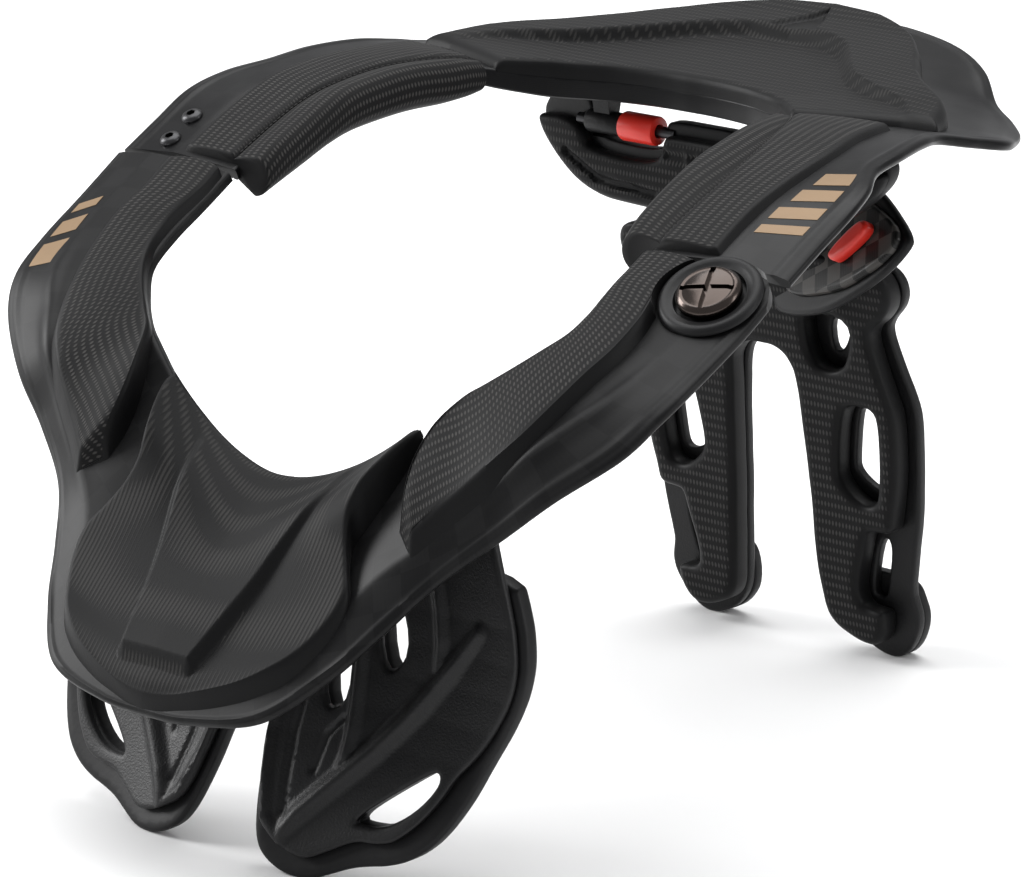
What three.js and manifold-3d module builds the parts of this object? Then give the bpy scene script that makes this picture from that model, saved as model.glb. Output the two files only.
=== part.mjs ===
// Motocross neck brace standing on its two chest plates and two back struts.
// Millimetres, +Z up, the wearer faces -Y, the wearer's left is +X.
import * as THREE from 'three';
import { mergeVertices } from 'three/addons/utils/BufferGeometryUtils.js';
import Module from 'manifold-3d';

const wasm = await Module();
wasm.setup();

// ---------------------------------------------------------------- sizes
const Y_SHIFT = -6.1;          // moves the middle of the whole length to Y = 0
const GAP = 0.35;              // clearance between pieces that touch on the real brace
const SHELL_T = 3.4;           // carbon shell thickness
const RING_ACROSS = 8;         // points across the top of a shell section

const PIVOT = { x: 118, y: -49, z: 174.2 };     // hinge screw of the front half
const PIVOT_AXIS = new THREE.Vector3(0.09, -0.53, 0.843).normalize();
const SCREW_R = 9.9;
const BOSS_R = 15.9;
const SWING_R = 17.6;          // clearance circle round the hinge screw

const PIN = { y: 95.8, z: 180 };                 // tilt axis of the thoracic unit
const BARREL_R = 3.9, COLLAR_R = 4.9, PIN_R = 1.9;
const BARREL_X = [34.2, 48.4];
const COLLAR_X = [19.3, 33.9];

const STRUT_PAD_T = 8, STRUT_PLATE_T = 4, FOOT_T = 4.2;

// ---------------------------------------------------------------- helpers
const V = (x, y, z) => new THREE.Vector3(x, y, z);
const rowsOf = (cols, rows) => rows.map((r) => Object.fromEntries(cols.map((c, i) => [c, r[i]])));

function catmull(p0, p1, p2, p3, t) {
  const t2 = t * t, t3 = t2 * t;
  return 0.5 * (2 * p1 + (p2 - p0) * t + (2 * p0 - 5 * p1 + 4 * p2 - p3) * t2 + (3 * p1 - p0 - 3 * p2 + p3) * t3);
}
// value of every named column at station u (0 .. rows.length-1)
function at(rows, u) {
  const n = rows.length - 1, i = Math.min(n - 1, Math.max(0, Math.floor(u))), t = u - i;
  const a = rows[Math.max(0, i - 1)], b = rows[i], c = rows[i + 1], d = rows[Math.min(n, i + 2)];
  const out = {};
  for (const k of Object.keys(b)) out[k] = catmull(a[k], b[k], c[k], d[k], t);
  return out;
}
function signedVolume(pos, idx) {
  let v = 0;
  for (let i = 0; i < idx.length; i += 3) {
    const a = pos[idx[i]], b = pos[idx[i + 1]], c = pos[idx[i + 2]];
    v += a[0] * (b[1] * c[2] - b[2] * c[1]) + a[1] * (b[2] * c[0] - b[0] * c[2]) + a[2] * (b[0] * c[1] - b[1] * c[0]);
  }
  return v / 6;
}
function geometryOf(pos, idx) {
  if (signedVolume(pos, idx) < 0) for (let i = 0; i < idx.length; i += 3) [idx[i], idx[i + 1]] = [idx[i + 1], idx[i]];
  const g = new THREE.BufferGeometry();
  g.setAttribute('position', new THREE.Float32BufferAttribute(pos.flat(), 3));
  g.setIndex(idx);
  return g;
}
function capOf(ring) {
  // triangulate a closed ring in the plane that fits it best
  const n = ring.length, nrm = V(0, 0, 0);
  for (let i = 0; i < n; i++) {
    const a = ring[i], b = ring[(i + 1) % n];
    nrm.x += (a[1] - b[1]) * (a[2] + b[2]);
    nrm.y += (a[2] - b[2]) * (a[0] + b[0]);
    nrm.z += (a[0] - b[0]) * (a[1] + b[1]);
  }
  nrm.normalize();
  const ex = Math.abs(nrm.x) < 0.8 ? V(1, 0, 0) : V(0, 1, 0);
  ex.sub(nrm.clone().multiplyScalar(ex.dot(nrm))).normalize();
  const ey = nrm.clone().cross(ex);
  const flat = ring.map((p, i) => new THREE.Vector2(ex.dot(V(...p)) + 1e-4 * Math.sin(i * 2.4), ey.dot(V(...p)) + 1e-4 * Math.cos(i * 1.7)));
  return THREE.ShapeUtils.triangulateShape(flat, []);
}
// closed solid through a row of closed rings
function loft(rings) {
  const m = rings[0].length, pos = rings.flat(), idx = [];
  for (let r = 0; r + 1 < rings.length; r++)
    for (let k = 0; k < m; k++) {
      const a = r * m + k, b = r * m + ((k + 1) % m), c = a + m, d = b + m;
      idx.push(a, b, d, a, d, c);
    }
  const last = (rings.length - 1) * m;
  const c0 = capOf(rings[0]), c1 = capOf(rings[rings.length - 1]);
  // the caps are wound to close the side wall
  const edge = new Set();
  for (let i = 0; i < idx.length; i += 3) for (const [p, q] of [[0, 1], [1, 2], [2, 0]]) edge.add(idx[i + p] + '_' + idx[i + q]);
  const put = (tris, off) => {
    const t0 = tris.find((t) => [[0, 1], [1, 2], [2, 0]].some(([p, q]) => Math.abs(t[p] - t[q]) === 1));
    let same = false;
    for (const [p, q] of [[0, 1], [1, 2], [2, 0]]) if (edge.has((t0[p] + off) + '_' + (t0[q] + off))) same = true;
    for (const t of tris) same ? idx.push(t[0] + off, t[2] + off, t[1] + off) : idx.push(t[0] + off, t[1] + off, t[2] + off);
  };
  put(c0, 0);
  put(c1, last);
  return geometryOf(pos, idx);
}
function toManifold(g) {
  let c = g.clone();
  c.deleteAttribute('normal');
  c.deleteAttribute('uv');
  c = mergeVertices(c, 1e-4);
  return new wasm.Manifold(new wasm.Mesh({ numProp: 3, vertProperties: new Float32Array(c.attributes.position.array), triVerts: new Uint32Array(c.index.array) }));
}
function toGeometry(man) {
  const m = man.getMesh(), g = new THREE.BufferGeometry(), n = m.vertProperties.length / m.numProp;
  const p = new Float32Array(n * 3);
  for (let i = 0; i < n; i++) for (let k = 0; k < 3; k++) p[i * 3 + k] = m.vertProperties[i * m.numProp + k];
  g.setAttribute('position', new THREE.BufferAttribute(p, 3));
  g.setIndex([...m.triVerts]);
  return g;
}
const cut = (g, ...tools) => toGeometry(tools.reduce((a, t) => a.subtract(toManifold(t)), toManifold(g)));
const join = (g, ...more) => toGeometry(more.reduce((a, t) => a.add(toManifold(t)), toManifold(g)));
// the cut that leaves the largest piece only
function seat(g, ...tools) {
  const parts = tools.reduce((a, t) => a.subtract(toManifold(t)), toManifold(g)).decompose();
  return toGeometry(parts.sort((a, b) => b.volume() - a.volume())[0]);
}
const keep = (g, t) => toGeometry(toManifold(g).intersect(toManifold(t)));
function mirrored(g) {
  const c = g.clone(), p = c.attributes.position, idx = [...c.index.array];
  for (let i = 0; i < p.count; i++) p.setX(i, -p.getX(i));
  for (let i = 0; i < idx.length; i += 3) [idx[i], idx[i + 1]] = [idx[i + 1], idx[i]];
  c.setIndex(idx);
  return c;
}
function box(x0, x1, y0, y1, z0, z1) {
  const g = new THREE.BoxGeometry(x1 - x0, y1 - y0, z1 - z0);
  g.translate((x0 + x1) / 2, (y0 + y1) / 2, (z0 + z1) / 2);
  return g;
}
// prism of a polygon in X and Z, from y0 to y1
function prismXZ(pts, y0, y1) {
  const g = new THREE.ExtrudeGeometry(new THREE.Shape(pts.map(([x, z]) => new THREE.Vector2(x, z))), { depth: y1 - y0, bevelEnabled: false });
  const m = new THREE.Matrix4().set(1, 0, 0, 0, 0, 0, -1, y1, 0, 1, 0, 0, 0, 0, 0, 1);
  g.applyMatrix4(m);
  return g;
}
// cuts a solid's faces fine and moves every point along Y by fn(x, z)
const bend = (g, fine, fn) => toGeometry(toManifold(g).refineToLength(fine).warp((v) => { v[1] += fn(v[0], v[2]); }));
// value of a table of [key, value] pairs
function along(table, k) {
  let i = 0;
  while (i < table.length - 2 && k > table[i + 1][0]) i++;
  const [a, b] = [table[i], table[i + 1]];
  return a[1] + (b[1] - a[1]) * Math.min(1, Math.max(0, (k - a[0]) / (b[0] - a[0])));
}
const bothSides = (half) => [...half, ...half.filter(([x]) => x > 0.01).reverse().map(([x, z]) => [-x, z])];
const flip = (pts) => pts.map(([x, z]) => [-x, z]).reverse();
function cylinderAt(r, len, axis, centre, seg = 40) {
  const g = new THREE.CylinderGeometry(r, r, len, seg);
  g.applyQuaternion(new THREE.Quaternion().setFromUnitVectors(V(0, 1, 0), axis));
  g.translate(centre.x, centre.y, centre.z);
  return g;
}
// a turned profile: points are [radius, height] along the axis
function turned(points, axis, centre, seg = 40) {
  const g = new THREE.LatheGeometry(points.map(([r, h]) => new THREE.Vector2(r, h)), seg);
  g.applyQuaternion(new THREE.Quaternion().setFromUnitVectors(V(0, 1, 0), axis));
  g.translate(centre.x, centre.y, centre.z);
  return g;
}
function rounded(poly, r, steps = 2) {
  // rounds the corners of a closed polygon in 2-D
  const out = [], n = poly.length;
  for (let i = 0; i < n; i++) {
    const p = new THREE.Vector2(...poly[i]);
    const a = new THREE.Vector2(...poly[(i + n - 1) % n]).sub(p), b = new THREE.Vector2(...poly[(i + 1) % n]).sub(p);
    const la = a.length(), lb = b.length(), d = Math.min(r, la * 0.45, lb * 0.45);
    const p0 = p.clone().add(a.multiplyScalar(d / la)), p2 = p.clone().add(b.multiplyScalar(d / lb));
    for (let k = 0; k <= steps; k++) {
      const t = k / steps;
      out.push([(1 - t) ** 2 * p0.x + 2 * t * (1 - t) * p.x + t * t * p2.x, (1 - t) ** 2 * p0.y + 2 * t * (1 - t) * p.y + t * t * p2.y]);
    }
  }
  return out;
}

// ---------------------------------------------------------------- the two shells
// One row for each section of half a shell, from the side joint to the middle.
// i = inner edge, m = shoulder, o = outer edge, lip = depth of the inner wall.
const COLS = ['ix', 'iy', 'iz', 'mx', 'my', 'mz', 'ox', 'oy', 'oz', 'lip'];
const FRONT = rowsOf(COLS, [
  [84, -38.4, 180.0, 119, -37.2, 181.0, 135, -37.2, 178.8, 4],
  [83.6, -52, 172.5, 119, -54, 171.6, 134.8, -54, 168.4, 4],
  [83.5, -64, 166, 117, -72, 161, 133.5, -73.5, 157.8, 4],
  [82, -76, 158.5, 112, -87, 152, 131, -88, 149, 4],
  [77, -84, 152.5, 105, -96.5, 144.8, 124.5, -98, 138.4, 5.5],
  [70, -90, 146.5, 97, -106, 136, 108.5, -109.3, 124.6, 5],
  [62, -95, 141, 87, -112, 123.5, 93, -115, 111, 5],
  [52, -98, 132.5, 73.5, -119.5, 110, 77.8, -123.1, 97.4, 5],
  [42, -101, 125, 60, -128, 98, 67.3, -135.4, 83.5, 5],
  [30, -104, 117.5, 49, -140, 83, 57, -149, 70.1, 5],
  [18, -106, 112, 34, -153, 68.5, 41.8, -162, 58, 5],
  [8, -106, 109.5, 15, -159.5, 62, 18, -166.6, 53.4, 5],
  [0, -105.5, 108.5, 0, -160, 61.5, 0, -167, 52.4, 5],
]);
const REAR = rowsOf(COLS, [
  [84, -35.6, 180.4, 112, -34.8, 181.8, 135, -34.2, 179.8, 4.2],
  [84, -22, 186.6, 112, -21, 188.6, 134.9, -20, 187.4, 4.2],
  [83, -6, 193, 112, -6, 195.2, 134.8, -5.5, 194.8, 4.2],
  [82, 8, 197.4, 111, 8, 199.4, 131.4, 8.2, 199.2, 4.2],
  [80, 22, 200.4, 109, 22, 202, 124.6, 21.5, 202, 4.2],
  [76, 36, 202, 106, 38, 203.6, 122, 38, 203.9, 4.2],
  [71, 48, 202.4, 101, 54, 203.6, 117.8, 55, 204.3, 4.5],
  [65, 56, 201.6, 95, 66, 202.4, 114.6, 68, 202.8, 5.5],
  [59, 63, 200.4, 92, 78, 200.4, 117.4, 82, 199.8, 6.5],
  [53, 69, 199.2, 90, 92, 199.4, 119.4, 96, 196.8, 7],
  [47, 74, 198.4, 84, 103, 199, 111, 112, 193.4, 7.5],
  [41, 77.5, 198, 76, 112, 199, 102.6, 126, 191.9, 7.5],
  [35, 80, 198, 68, 120, 199.4, 92, 137, 192.4, 7.5],
  [28, 82.5, 198, 58, 130, 200, 78.3, 147.2, 194.9, 7.5],
  [21, 84, 198, 47, 141, 200.8, 64, 160, 201.6, 7.5],
  [14, 85, 198, 34, 150, 201.6, 46, 170, 205.6, 7.5],
  [7, 85.5, 198, 18, 154, 202, 22, 177, 207.6, 7.5],
  [0, 85.5, 198, 0, 155, 202, 0, 178.6, 208.2, 7.5],
]);
// point on a shell at station u and fraction f across (0 inner .. 1 outer)
function shellPoint(rows, u, f) {
  const r = at(rows, u);
  const I = V(r.ix, r.iy, r.iz), M = V(r.mx, r.my, r.mz), O = V(r.ox, r.oy, r.oz);
  const F = 0.7;
  if (f <= F) { // inner to shoulder, easing into the outer slope
    const t = f / F, p = I.clone().lerp(M, t);
    return p.add(O.clone().sub(M).multiplyScalar(F / (1 - F)).sub(M.clone().sub(I)).multiplyScalar(0.25 * t * t * (t - 1) * 0.6));
  }
  const t = (f - F) / (1 - F), p = M.clone().lerp(O, t);
  return p.add(O.clone().sub(M).multiplyScalar(F / (1 - F)).sub(M.clone().sub(I)).multiplyScalar(-0.25 * t * (1 - t) * (1 - t) * 0.6 * (1 - F) / F));
}
function shellNormal(rows, u, f) {
  const n = rows.length - 1, e = 0.02;
  const a = shellPoint(rows, u, Math.max(0, f - e)), b = shellPoint(rows, u, Math.min(1, f + e));
  const c = shellPoint(rows, Math.max(0, u - e), f), d = shellPoint(rows, Math.min(n, u + e), f);
  const nn = b.sub(a).cross(d.sub(c)).normalize();
  if (nn.z < 0) nn.negate();
  if (u > n - 0.01) { nn.x = 0; nn.normalize(); }
  return nn;
}
const off = (rows, u, f, h) => { const p = shellPoint(rows, u, f), n = shellNormal(rows, u, f); return [p.x + n.x * h, p.y + n.y * h, p.z + n.z * h]; };
function shellRing(rows, u, grow = 0, up = 0) {
  // closed section of the shell at station u; grow widens it all round, up raises its top
  const r = at(rows, u), ring = [];
  const width = Math.hypot(r.ox - r.ix, r.oy - r.iy, r.oz - r.iz);
  const wall = 3.2 / width, g = grow / width;
  for (let k = 0; k < RING_ACROSS; k++) {
    const f = k / (RING_ACROSS - 1), edge = f > 0.99 ? -0.7 : f < 0.01 ? -0.4 : 0;
    const p = off(rows, u, f, edge + grow);
    if (f > 0.99 || f < 0.01) { // the cutting form is wider than the shell
      const q = shellPoint(rows, u, f > 0.5 ? 0.98 : 0.02), s = shellPoint(rows, u, f).sub(q).normalize().multiplyScalar(grow);
      p[0] += s.x; p[1] += s.y; p[2] += s.z;
    }
    p[2] += up;
    ring.push(p);
  }
  const o = off(rows, u, 1, -2.4 - grow), q = shellPoint(rows, u, 0.98), s = shellPoint(rows, u, 1).sub(q).normalize().multiplyScalar(grow);
  ring.push([o[0] + s.x, o[1] + s.y, o[2] + s.z]);
  for (const f of [0.93, 0.75, 0.6, 0.4, 0.2]) ring.push(off(rows, u, f, -SHELL_T - grow));
  ring.push(off(rows, u, Math.min(0.16, wall + 0.02 + g), -SHELL_T - grow - 0.2));
  ring.push(off(rows, u, Math.min(0.12, wall + g), -r.lip - grow));
  const b = off(rows, u, 0, -r.lip - grow), q2 = shellPoint(rows, u, 0.02), s2 = shellPoint(rows, u, 0).sub(q2).normalize().multiplyScalar(grow);
  ring.push([b[0] + s2.x, b[1] + s2.y, b[2] + s2.z]);
  return ring;
}
const mirrorRing = (ring) => ring.map(([x, y, z]) => [-x, y, z]);
function shell(rows, per = 1.5, grow = 0, up = 0) {
  const n = rows.length - 1, half = [];
  for (let k = 0; k < n * per; k++) half.push(shellRing(rows, k / per, grow, up));
  const mid = shellRing(rows, n, grow, up).map(([, y, z]) => [0, y, z]);
  return loft([...half, mid, ...half.map(mirrorRing).reverse()]);
}
// height of a shell's top above a plan point, from a fine grid of it
function heightField(rows) {
  const n = rows.length - 1, A = n * 3, B = 14, grid = [];
  for (let i = 0; i <= A; i++) { grid.push([]); for (let j = 0; j <= B; j++) grid[i].push(shellPoint(rows, (i / A) * n, j / B)); }
  return (x, y) => {
    const X = Math.abs(x);
    let best = null, bd = Infinity;
    for (let i = 0; i < A; i++) for (let j = 0; j < B; j++) for (const [a, b, c] of [[grid[i][j], grid[i + 1][j], grid[i + 1][j + 1]], [grid[i][j], grid[i + 1][j + 1], grid[i][j + 1]]]) {
      const d = (b.x - a.x) * (c.y - a.y) - (c.x - a.x) * (b.y - a.y);
      if (Math.abs(d) < 1e-9) continue;
      const u = ((X - a.x) * (c.y - a.y) - (c.x - a.x) * (y - a.y)) / d, v = ((b.x - a.x) * (y - a.y) - (X - a.x) * (b.y - a.y)) / d;
      const o = Math.max(0, -u, -v, u + v - 1);
      if (o < bd) { bd = o; best = a.z + u * (b.z - a.z) + v * (c.z - a.z); if (o === 0) return best; }
    }
    return best;
  };
}
const frontZ = heightField(FRONT), rearZ = heightField(REAR);

const disc = (r, len) => cylinderAt(r, len, PIVOT_AXIS, PIVOT, 48);
// front shell: its near end is round about the hinge screw
function frontShell() {
  const corner = box(117.5, 150, -49, -20, 150, 200);
  const round = disc(SWING_R - 0.45, 60);
  let g = shell(FRONT);
  g = cut(g, toGeometry(toManifold(corner).subtract(toManifold(round))));
  return cut(g, cylinderAt(3.4, 40, PIVOT_AXIS, PIVOT, 24));
}
function rearShell() {
  return cut(shell(REAR), disc(SWING_R + 0.2, 60));
}

// ---------------------------------------------------------------- pads
// rows across a pad: t = outer top edge, i = inner top edge
const PAD = ['ox', 'oy', 'oz', 'ix', 'iy', 'iz'];
const ARM_PAD = rowsOf(PAD, [
  [107.4, -40.6, 183.0, 86.2, -40.2, 182.8],
  [105.6, -49, 179.4, 85.6, -47, 178.6],
  [104.2, -57, 175.6, 85.6, -53.5, 175.4],
  [105.6, -66, 170.2, 86, -60, 172],
  [104.7, -76.8, 163.2, 85.8, -66.2, 168],
  [102, -87, 156.8, 84.4, -73.4, 163.6],
  [98.5, -97.5, 148.8, 80.4, -80.6, 159.2],
  [94.2, -106, 141, 75, -86.6, 154.4],
  [88.5, -111.3, 134, 69, -91.6, 149.6],
  [82, -115, 126.6, 63.6, -96.4, 145.2],
  [75.4, -118.4, 119.4, 59.8, -105, 138],
  [69.5, -121.8, 112.8, 58.6, -113, 128],
  [66.8, -123.4, 110, 60.2, -119.5, 117],
]);
const REAR_PAD = rowsOf([...PAD, 'rx', 'rz', 'rw', 'rh'], [
  [107, -33.4, 184.6, 87, -33.6, 184.8, 78.6, 178.6, 7.2, 6.6],
  [106.6, -26, 188.6, 87, -26.4, 188.2, 78, 182.6, 7.8, 7.4],
  [106.4, -15, 193.9, 87, -16, 192.9, 77.4, 187.2, 8.2, 7.8],
  [107, -3, 198.4, 87, -5, 197.2, 77, 191.6, 8.4, 8],
  [107.4, 8, 201.6, 86, 5.5, 200.6, 76, 194.8, 8.4, 8],
  [106.4, 20, 203.6, 83.4, 18.6, 203.5, 74, 197, 8.2, 8],
  [104.4, 31, 204.9, 80, 30, 205.2, 71.5, 198.2, 8, 7.8],
  [101.8, 42, 205.6, 75.2, 42, 205.8, 68.5, 198.4, 7.4, 7.4],
  [100, 52, 205.6, 70.4, 50.6, 205.7, 65.2, 198.8, 6.4, 6.4],
  [98, 61, 205.2, 66.8, 56, 204.8, 62.4, 199.2, 5, 5.2],
]);
const lerp = (a, b, t) => a + (b - a) * t;
// closed section of a pad: base on the shell, round shoulders, crowned top
function padRing(r, zOf, inset, crown) {
  const dx = r.ix - r.ox, dy = r.iy - r.oy, len = Math.hypot(dx, dy), ux = dx / len, uy = dy / len;
  const P = (a, b) => [r.ox + ux * a, r.oy + uy * a, b];           // a: mm from the outer edge inwards
  const top = (a) => lerp(r.oz, r.iz, a / len) + crown * 4 * (a / len) * (1 - a / len);
  const ring = [];
  for (const a of [-inset, len * 0.25, len * 0.5, len * 0.75, len + inset * 0.6]) {
    const p = P(a, 0);
    ring.push([p[0], p[1], zOf(p[0], p[1]) - 0.7]);
  }
  ring.push(P(len + inset, lerp(zOf(...P(len + inset, 0).slice(0, 2)) + GAP, r.iz, 0.55)));
  for (const a of [len, len - 1.6, len * 0.75, len * 0.5, len * 0.25, 1.4]) ring.push(P(a, top(a) + (a === len ? -0.8 : 0)));
  ring.push(P(0, r.oz - 0.9));
  return ring;
}
function armPad(clearOfBoss) {
  const rings = [], n = ARM_PAD.length - 1;
  for (let k = 0; k <= n; k++) rings.push(padRing(at(ARM_PAD, k), frontZ, 1.2, 1.3));
  // seated on the shell; the left one stands clear of the hinge boss
  return clearOfBoss ? seat(loft(rings), shell(FRONT, 1.5, GAP), disc(BOSS_R + 0.5, 40)) : seat(loft(rings), shell(FRONT, 1.5, GAP));
}
function rearArmPad() {
  const rings = [], n = REAR_PAD.length - 1;
  for (let k = 0; k <= n; k++) {
    const r = at(REAR_PAD, k);
    const dx = r.ix - r.ox, dy = r.iy - r.oy, len = Math.hypot(dx, dy), ux = dx / len, uy = dy / len;
    const P = (a, b) => [r.ox + ux * a, r.oy + uy * a, b];
    const top = (a) => lerp(r.oz, r.iz, a / len) + 0.5 * 4 * (a / len) * (1 - a / len);
    const ring = [];
    const edge = 2.2;                                             // past the shell's inner edge
    for (const a of [-1.6, len * 0.3, len * 0.65, len + 0.2]) { const p = P(a, 0); ring.push([p[0], p[1], rearZ(p[0], p[1]) - 0.7]); }
    const w = P(len + edge, 0);
    ring.push([w[0], w[1], rearZ(w[0], w[1]) + GAP]);
    ring.push([w[0] - 0.4 * Math.abs(ux), w[1], rearZ(w[0], w[1]) - 5.4]);
    // the roll, from its bottom round the neck side to the seam
    for (const [ca, sa] of [[0.35, -0.95], [-0.35, -0.95], [-0.85, -0.5], [-1, 0.1], [-0.75, 0.66], [-0.2, 0.97]])
      ring.push([r.rx + r.rw * ca * 0.96, lerp(r.iy, r.oy, -0.35) + 0, r.rz + r.rh * sa]);
    ring.push(P(len + 1.0, r.iz - 1.3));                          // stitched seam
    for (const a of [len - 1, len * 0.66, len * 0.33, 1.2]) ring.push(P(a, top(a)));
    ring.push(P(0, r.oz - 0.7));
    rings.push(ring);
  }
  return seat(loft(rings), shell(REAR, 1.5, GAP));
}

// chin pad: rows from the neck edge down to the front tip
// y,z = on the middle line, ex,ey,ez = side edge, bend = how the row dips between them
const CHIN = rowsOf(['y', 'z', 'ex', 'ey', 'ez', 'bend'], [
  [-104.6, 112.6, 50.4, -98.2, 135.4, 1.9],
  [-109.5, 110.4, 50.6, -103.6, 134.2, 1.9],
  [-116, 105.4, 48.6, -110.6, 129.8, 1.8],
  [-122.5, 99.8, 45.8, -117.6, 123.6, 1.7],
  [-128.5, 94.6, 44.4, -122.2, 115.6, 1.6],
  [-134.5, 89.6, 46.4, -126, 107.6, 1.6],
  [-140, 84.6, 50.4, -130.4, 100.2, 1.7],
  [-145.5, 79.8, 54, -135, 94, 1.8],
  [-151, 75, 53.4, -140.8, 87, 1.8],
  [-156, 70.6, 49.8, -147.4, 79.8, 1.9],
  [-160.4, 66.6, 44, -154, 74, 1.9],
  [-163.8, 62.8, 34.6, -159.2, 68.2, 2],
  [-165.6, 59.6, 22, -163.2, 63.6, 2],
  [-166.4, 58.2, 10, -165.4, 60.2, 2],
]);
function chinTop(r, v) {               // v from -1 to 1 across
  const a = Math.abs(v);
  return [r.ex * v, lerp(r.y, r.ey, a ** 1.6), lerp(r.z, r.ez, a ** r.bend)];
}
// raised tongue on the chin pad: rows match the chin rows by y
const TONGUE = rowsOf(['y', 'half', 'rise'], [
  [-161.6, 14.4, 0], [-160.4, 15.4, 4.6], [-156, 16.6, 4.8], [-145, 19.6, 4.4], [-134, 23, 3.4], [-124, 26.6, 1.8], [-114, 29, 0.2],
]);
function tongueRise(x, y) {
  const t = TONGUE;
  if (y <= t[0].y || y >= t[t.length - 1].y) return 0;
  let i = 0;
  while (y > t[i + 1].y) i++;
  const k = (y - t[i].y) / (t[i + 1].y - t[i].y), half = lerp(t[i].half, t[i + 1].half, k), rise = lerp(t[i].rise, t[i + 1].rise, k);
  const d = half - Math.abs(x);
  return rise * Math.min(1, Math.max(0, d / 2.4));
}
function chinPad() {
  const rings = [], n = CHIN.length - 1, N = 18;
  for (let k = 0; k <= n; k++) {
    const r = at(CHIN, k), top = [], base = [];
    for (let j = 0; j <= N; j++) {
      const v = -1 + (2 * j) / N, p = chinTop(r, v), edge = Math.abs(v) > 0.99 ? -1.4 : 0;
      top.push([p[0], p[1], p[2] + edge + tongueRise(p[0], p[1])]);
    }
    for (const v of [1, 0.66, 0.33, 0, -0.33, -0.66, -1]) {
      const p = chinTop(r, v), q = [p[0] * (Math.abs(v) > 0.99 ? 1.012 : 1), p[1], 0];
      q[2] = Math.min(frontZ(q[0], q[1]) - 0.7, p[2] - 2.2);
      base.push(q);
    }
    rings.push([...top, ...base]);
  }
  return seat(loft(rings), shell(FRONT, 1.5, GAP));
}

// rear table pad: rows follow the rear shell's stations
const TABLE = rowsOf(['u', 'f', 'h', 'boss', 'start'], [
  [7.8, 0.86, 3.4, 0.2, 0.84],
  [8.4, 0.82, 4, 1.4, 0.76],
  [9.2, 0.77, 4.6, 2.8, 0.66],
  [10, 0.72, 5, 3.6, 0.58],
  [11, 0.7, 5, 4.2, 0.54],
  [12, 0.7, 5, 4.6, 0.52],
  [13, 0.72, 5, 4.8, 0.53],
  [14, 0.75, 5, 5, 0.55],
  [15, 0.8, 5, 5, 0.57],
  [16, 0.86, 5, 5, 0.58],
  [17, 0.88, 5, 5, 0.58],
]);
function tableRing(r) {
  const ring = [], u = Math.min(17, r.u);
  for (const f of [0.02, 0.25, 0.5, 0.75, 1]) ring.push(off(REAR, u, f * r.f, -0.7));
  const a = r.start, steps = [1, 0.965, lerp(0.965, a + 0.07, 0.5), a + 0.07, a, a * 0.66, a * 0.33, 0.07, 0.0];
  for (const s of steps) {
    const on = Math.min(1, Math.max(0, (s - a) / 0.07));
    const shoulder = s > 0.99 ? -2.2 : s < 0.01 ? -1.4 : 0;
    ring.push(off(REAR, u, Math.max(s * r.f, -0.01), r.h + shoulder + r.boss * on * (s > 0.99 ? 0.55 : 1)));
  }
  return ring;
}
function tablePad() {
  const n = TABLE.length - 1, half = [];
  for (let k = 0; k < n; k++) half.push(tableRing(at(TABLE, k)));
  const mid = tableRing(TABLE[n]).map(([, y, z]) => [0, y, z]);
  return seat(loft([...half, mid, ...half.map(mirrorRing).reverse()]), shell(REAR, 1.5, GAP));
}

// ---------------------------------------------------------------- thoracic unit
// front face of the struts by height, and outlines (right half) in X and Z
const STRUT_FACE = [[0, 141], [14, 137.6], [21.6, 136.2], [28.6, 134.9], [35.5, 134], [42.4, 133.2], [49, 132.8], [56, 132.1], [62.7, 131.1], [69.4, 130.3], [80, 128.7], [90.6, 127.3], [101.4, 125.1], [127, 121], [140, 117], [145, 115.4]];
const strutY = (x, z) => along(STRUT_FACE, z);
const STRUT_PAD = [
  [0, 106.5], [5, 106.5], [9.5, 104.5], [12, 101], [13.2, 97.7], [14.3, 82], [15.7, 59.7], [16.5, 42], [17.1, 31.4], [18.2, 22.4], [19.3, 15], [22.4, 10.5], [26.8, 8], [33, 5.6], [39, 5.6], [43, 11],
  [43.8, 17.6], [42.5, 19], [36.2, 19.2], [33.6, 22.2], [34, 29.2], [36.7, 38.3], [38.7, 46.2], [41, 47.3], [48.9, 47.6], [50, 54], [52, 63], [53.3, 76], [53.3, 89.2], [51.4, 96], [48.6, 105], [46, 114],
  [46.4, 119], [52, 123.5], [55.6, 129], [56.2, 134.5], [54, 139.5], [48, 142], [0, 143],
];
const STRUT_BACK = [
  [0, 108], [8, 106], [12.6, 99], [14.6, 82], [16, 60], [17.4, 31], [18.6, 21], [20, 13], [25, 6], [31, 2], [36, 0], [42, 0], [47.4, 4.5], [51.6, 12], [52.6, 17.5], [51.6, 22], [50.6, 26], [52.6, 37],
  [55.4, 56], [56.9, 76.6], [57.3, 88], [55.8, 96], [51.6, 107], [48.4, 117], [49.4, 121], [55, 127], [57.2, 133], [55.5, 139], [49, 142], [0, 143],
];
const STRUT_FOOT = [[19, 27], [18.8, 14], [24.5, 6], [30.5, 2], [36, 0], [42, 0], [47.4, 4.5], [51.4, 12], [52.4, 17.5], [51.2, 22], [49.6, 27], [44, 30], [25, 30]];
const PAD_WINDOWS = [
  [[19.4, 121], [19.3, 112], [21, 105.5], [24.5, 101.8], [31, 101.8], [36, 106], [38.8, 121]],
  [[31, 86], [28.4, 70], [28.4, 63.7], [32.7, 59], [37.7, 56], [42.4, 56.6], [44.8, 61], [46.2, 86], [43.4, 91], [34, 90.4]],
];
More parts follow.
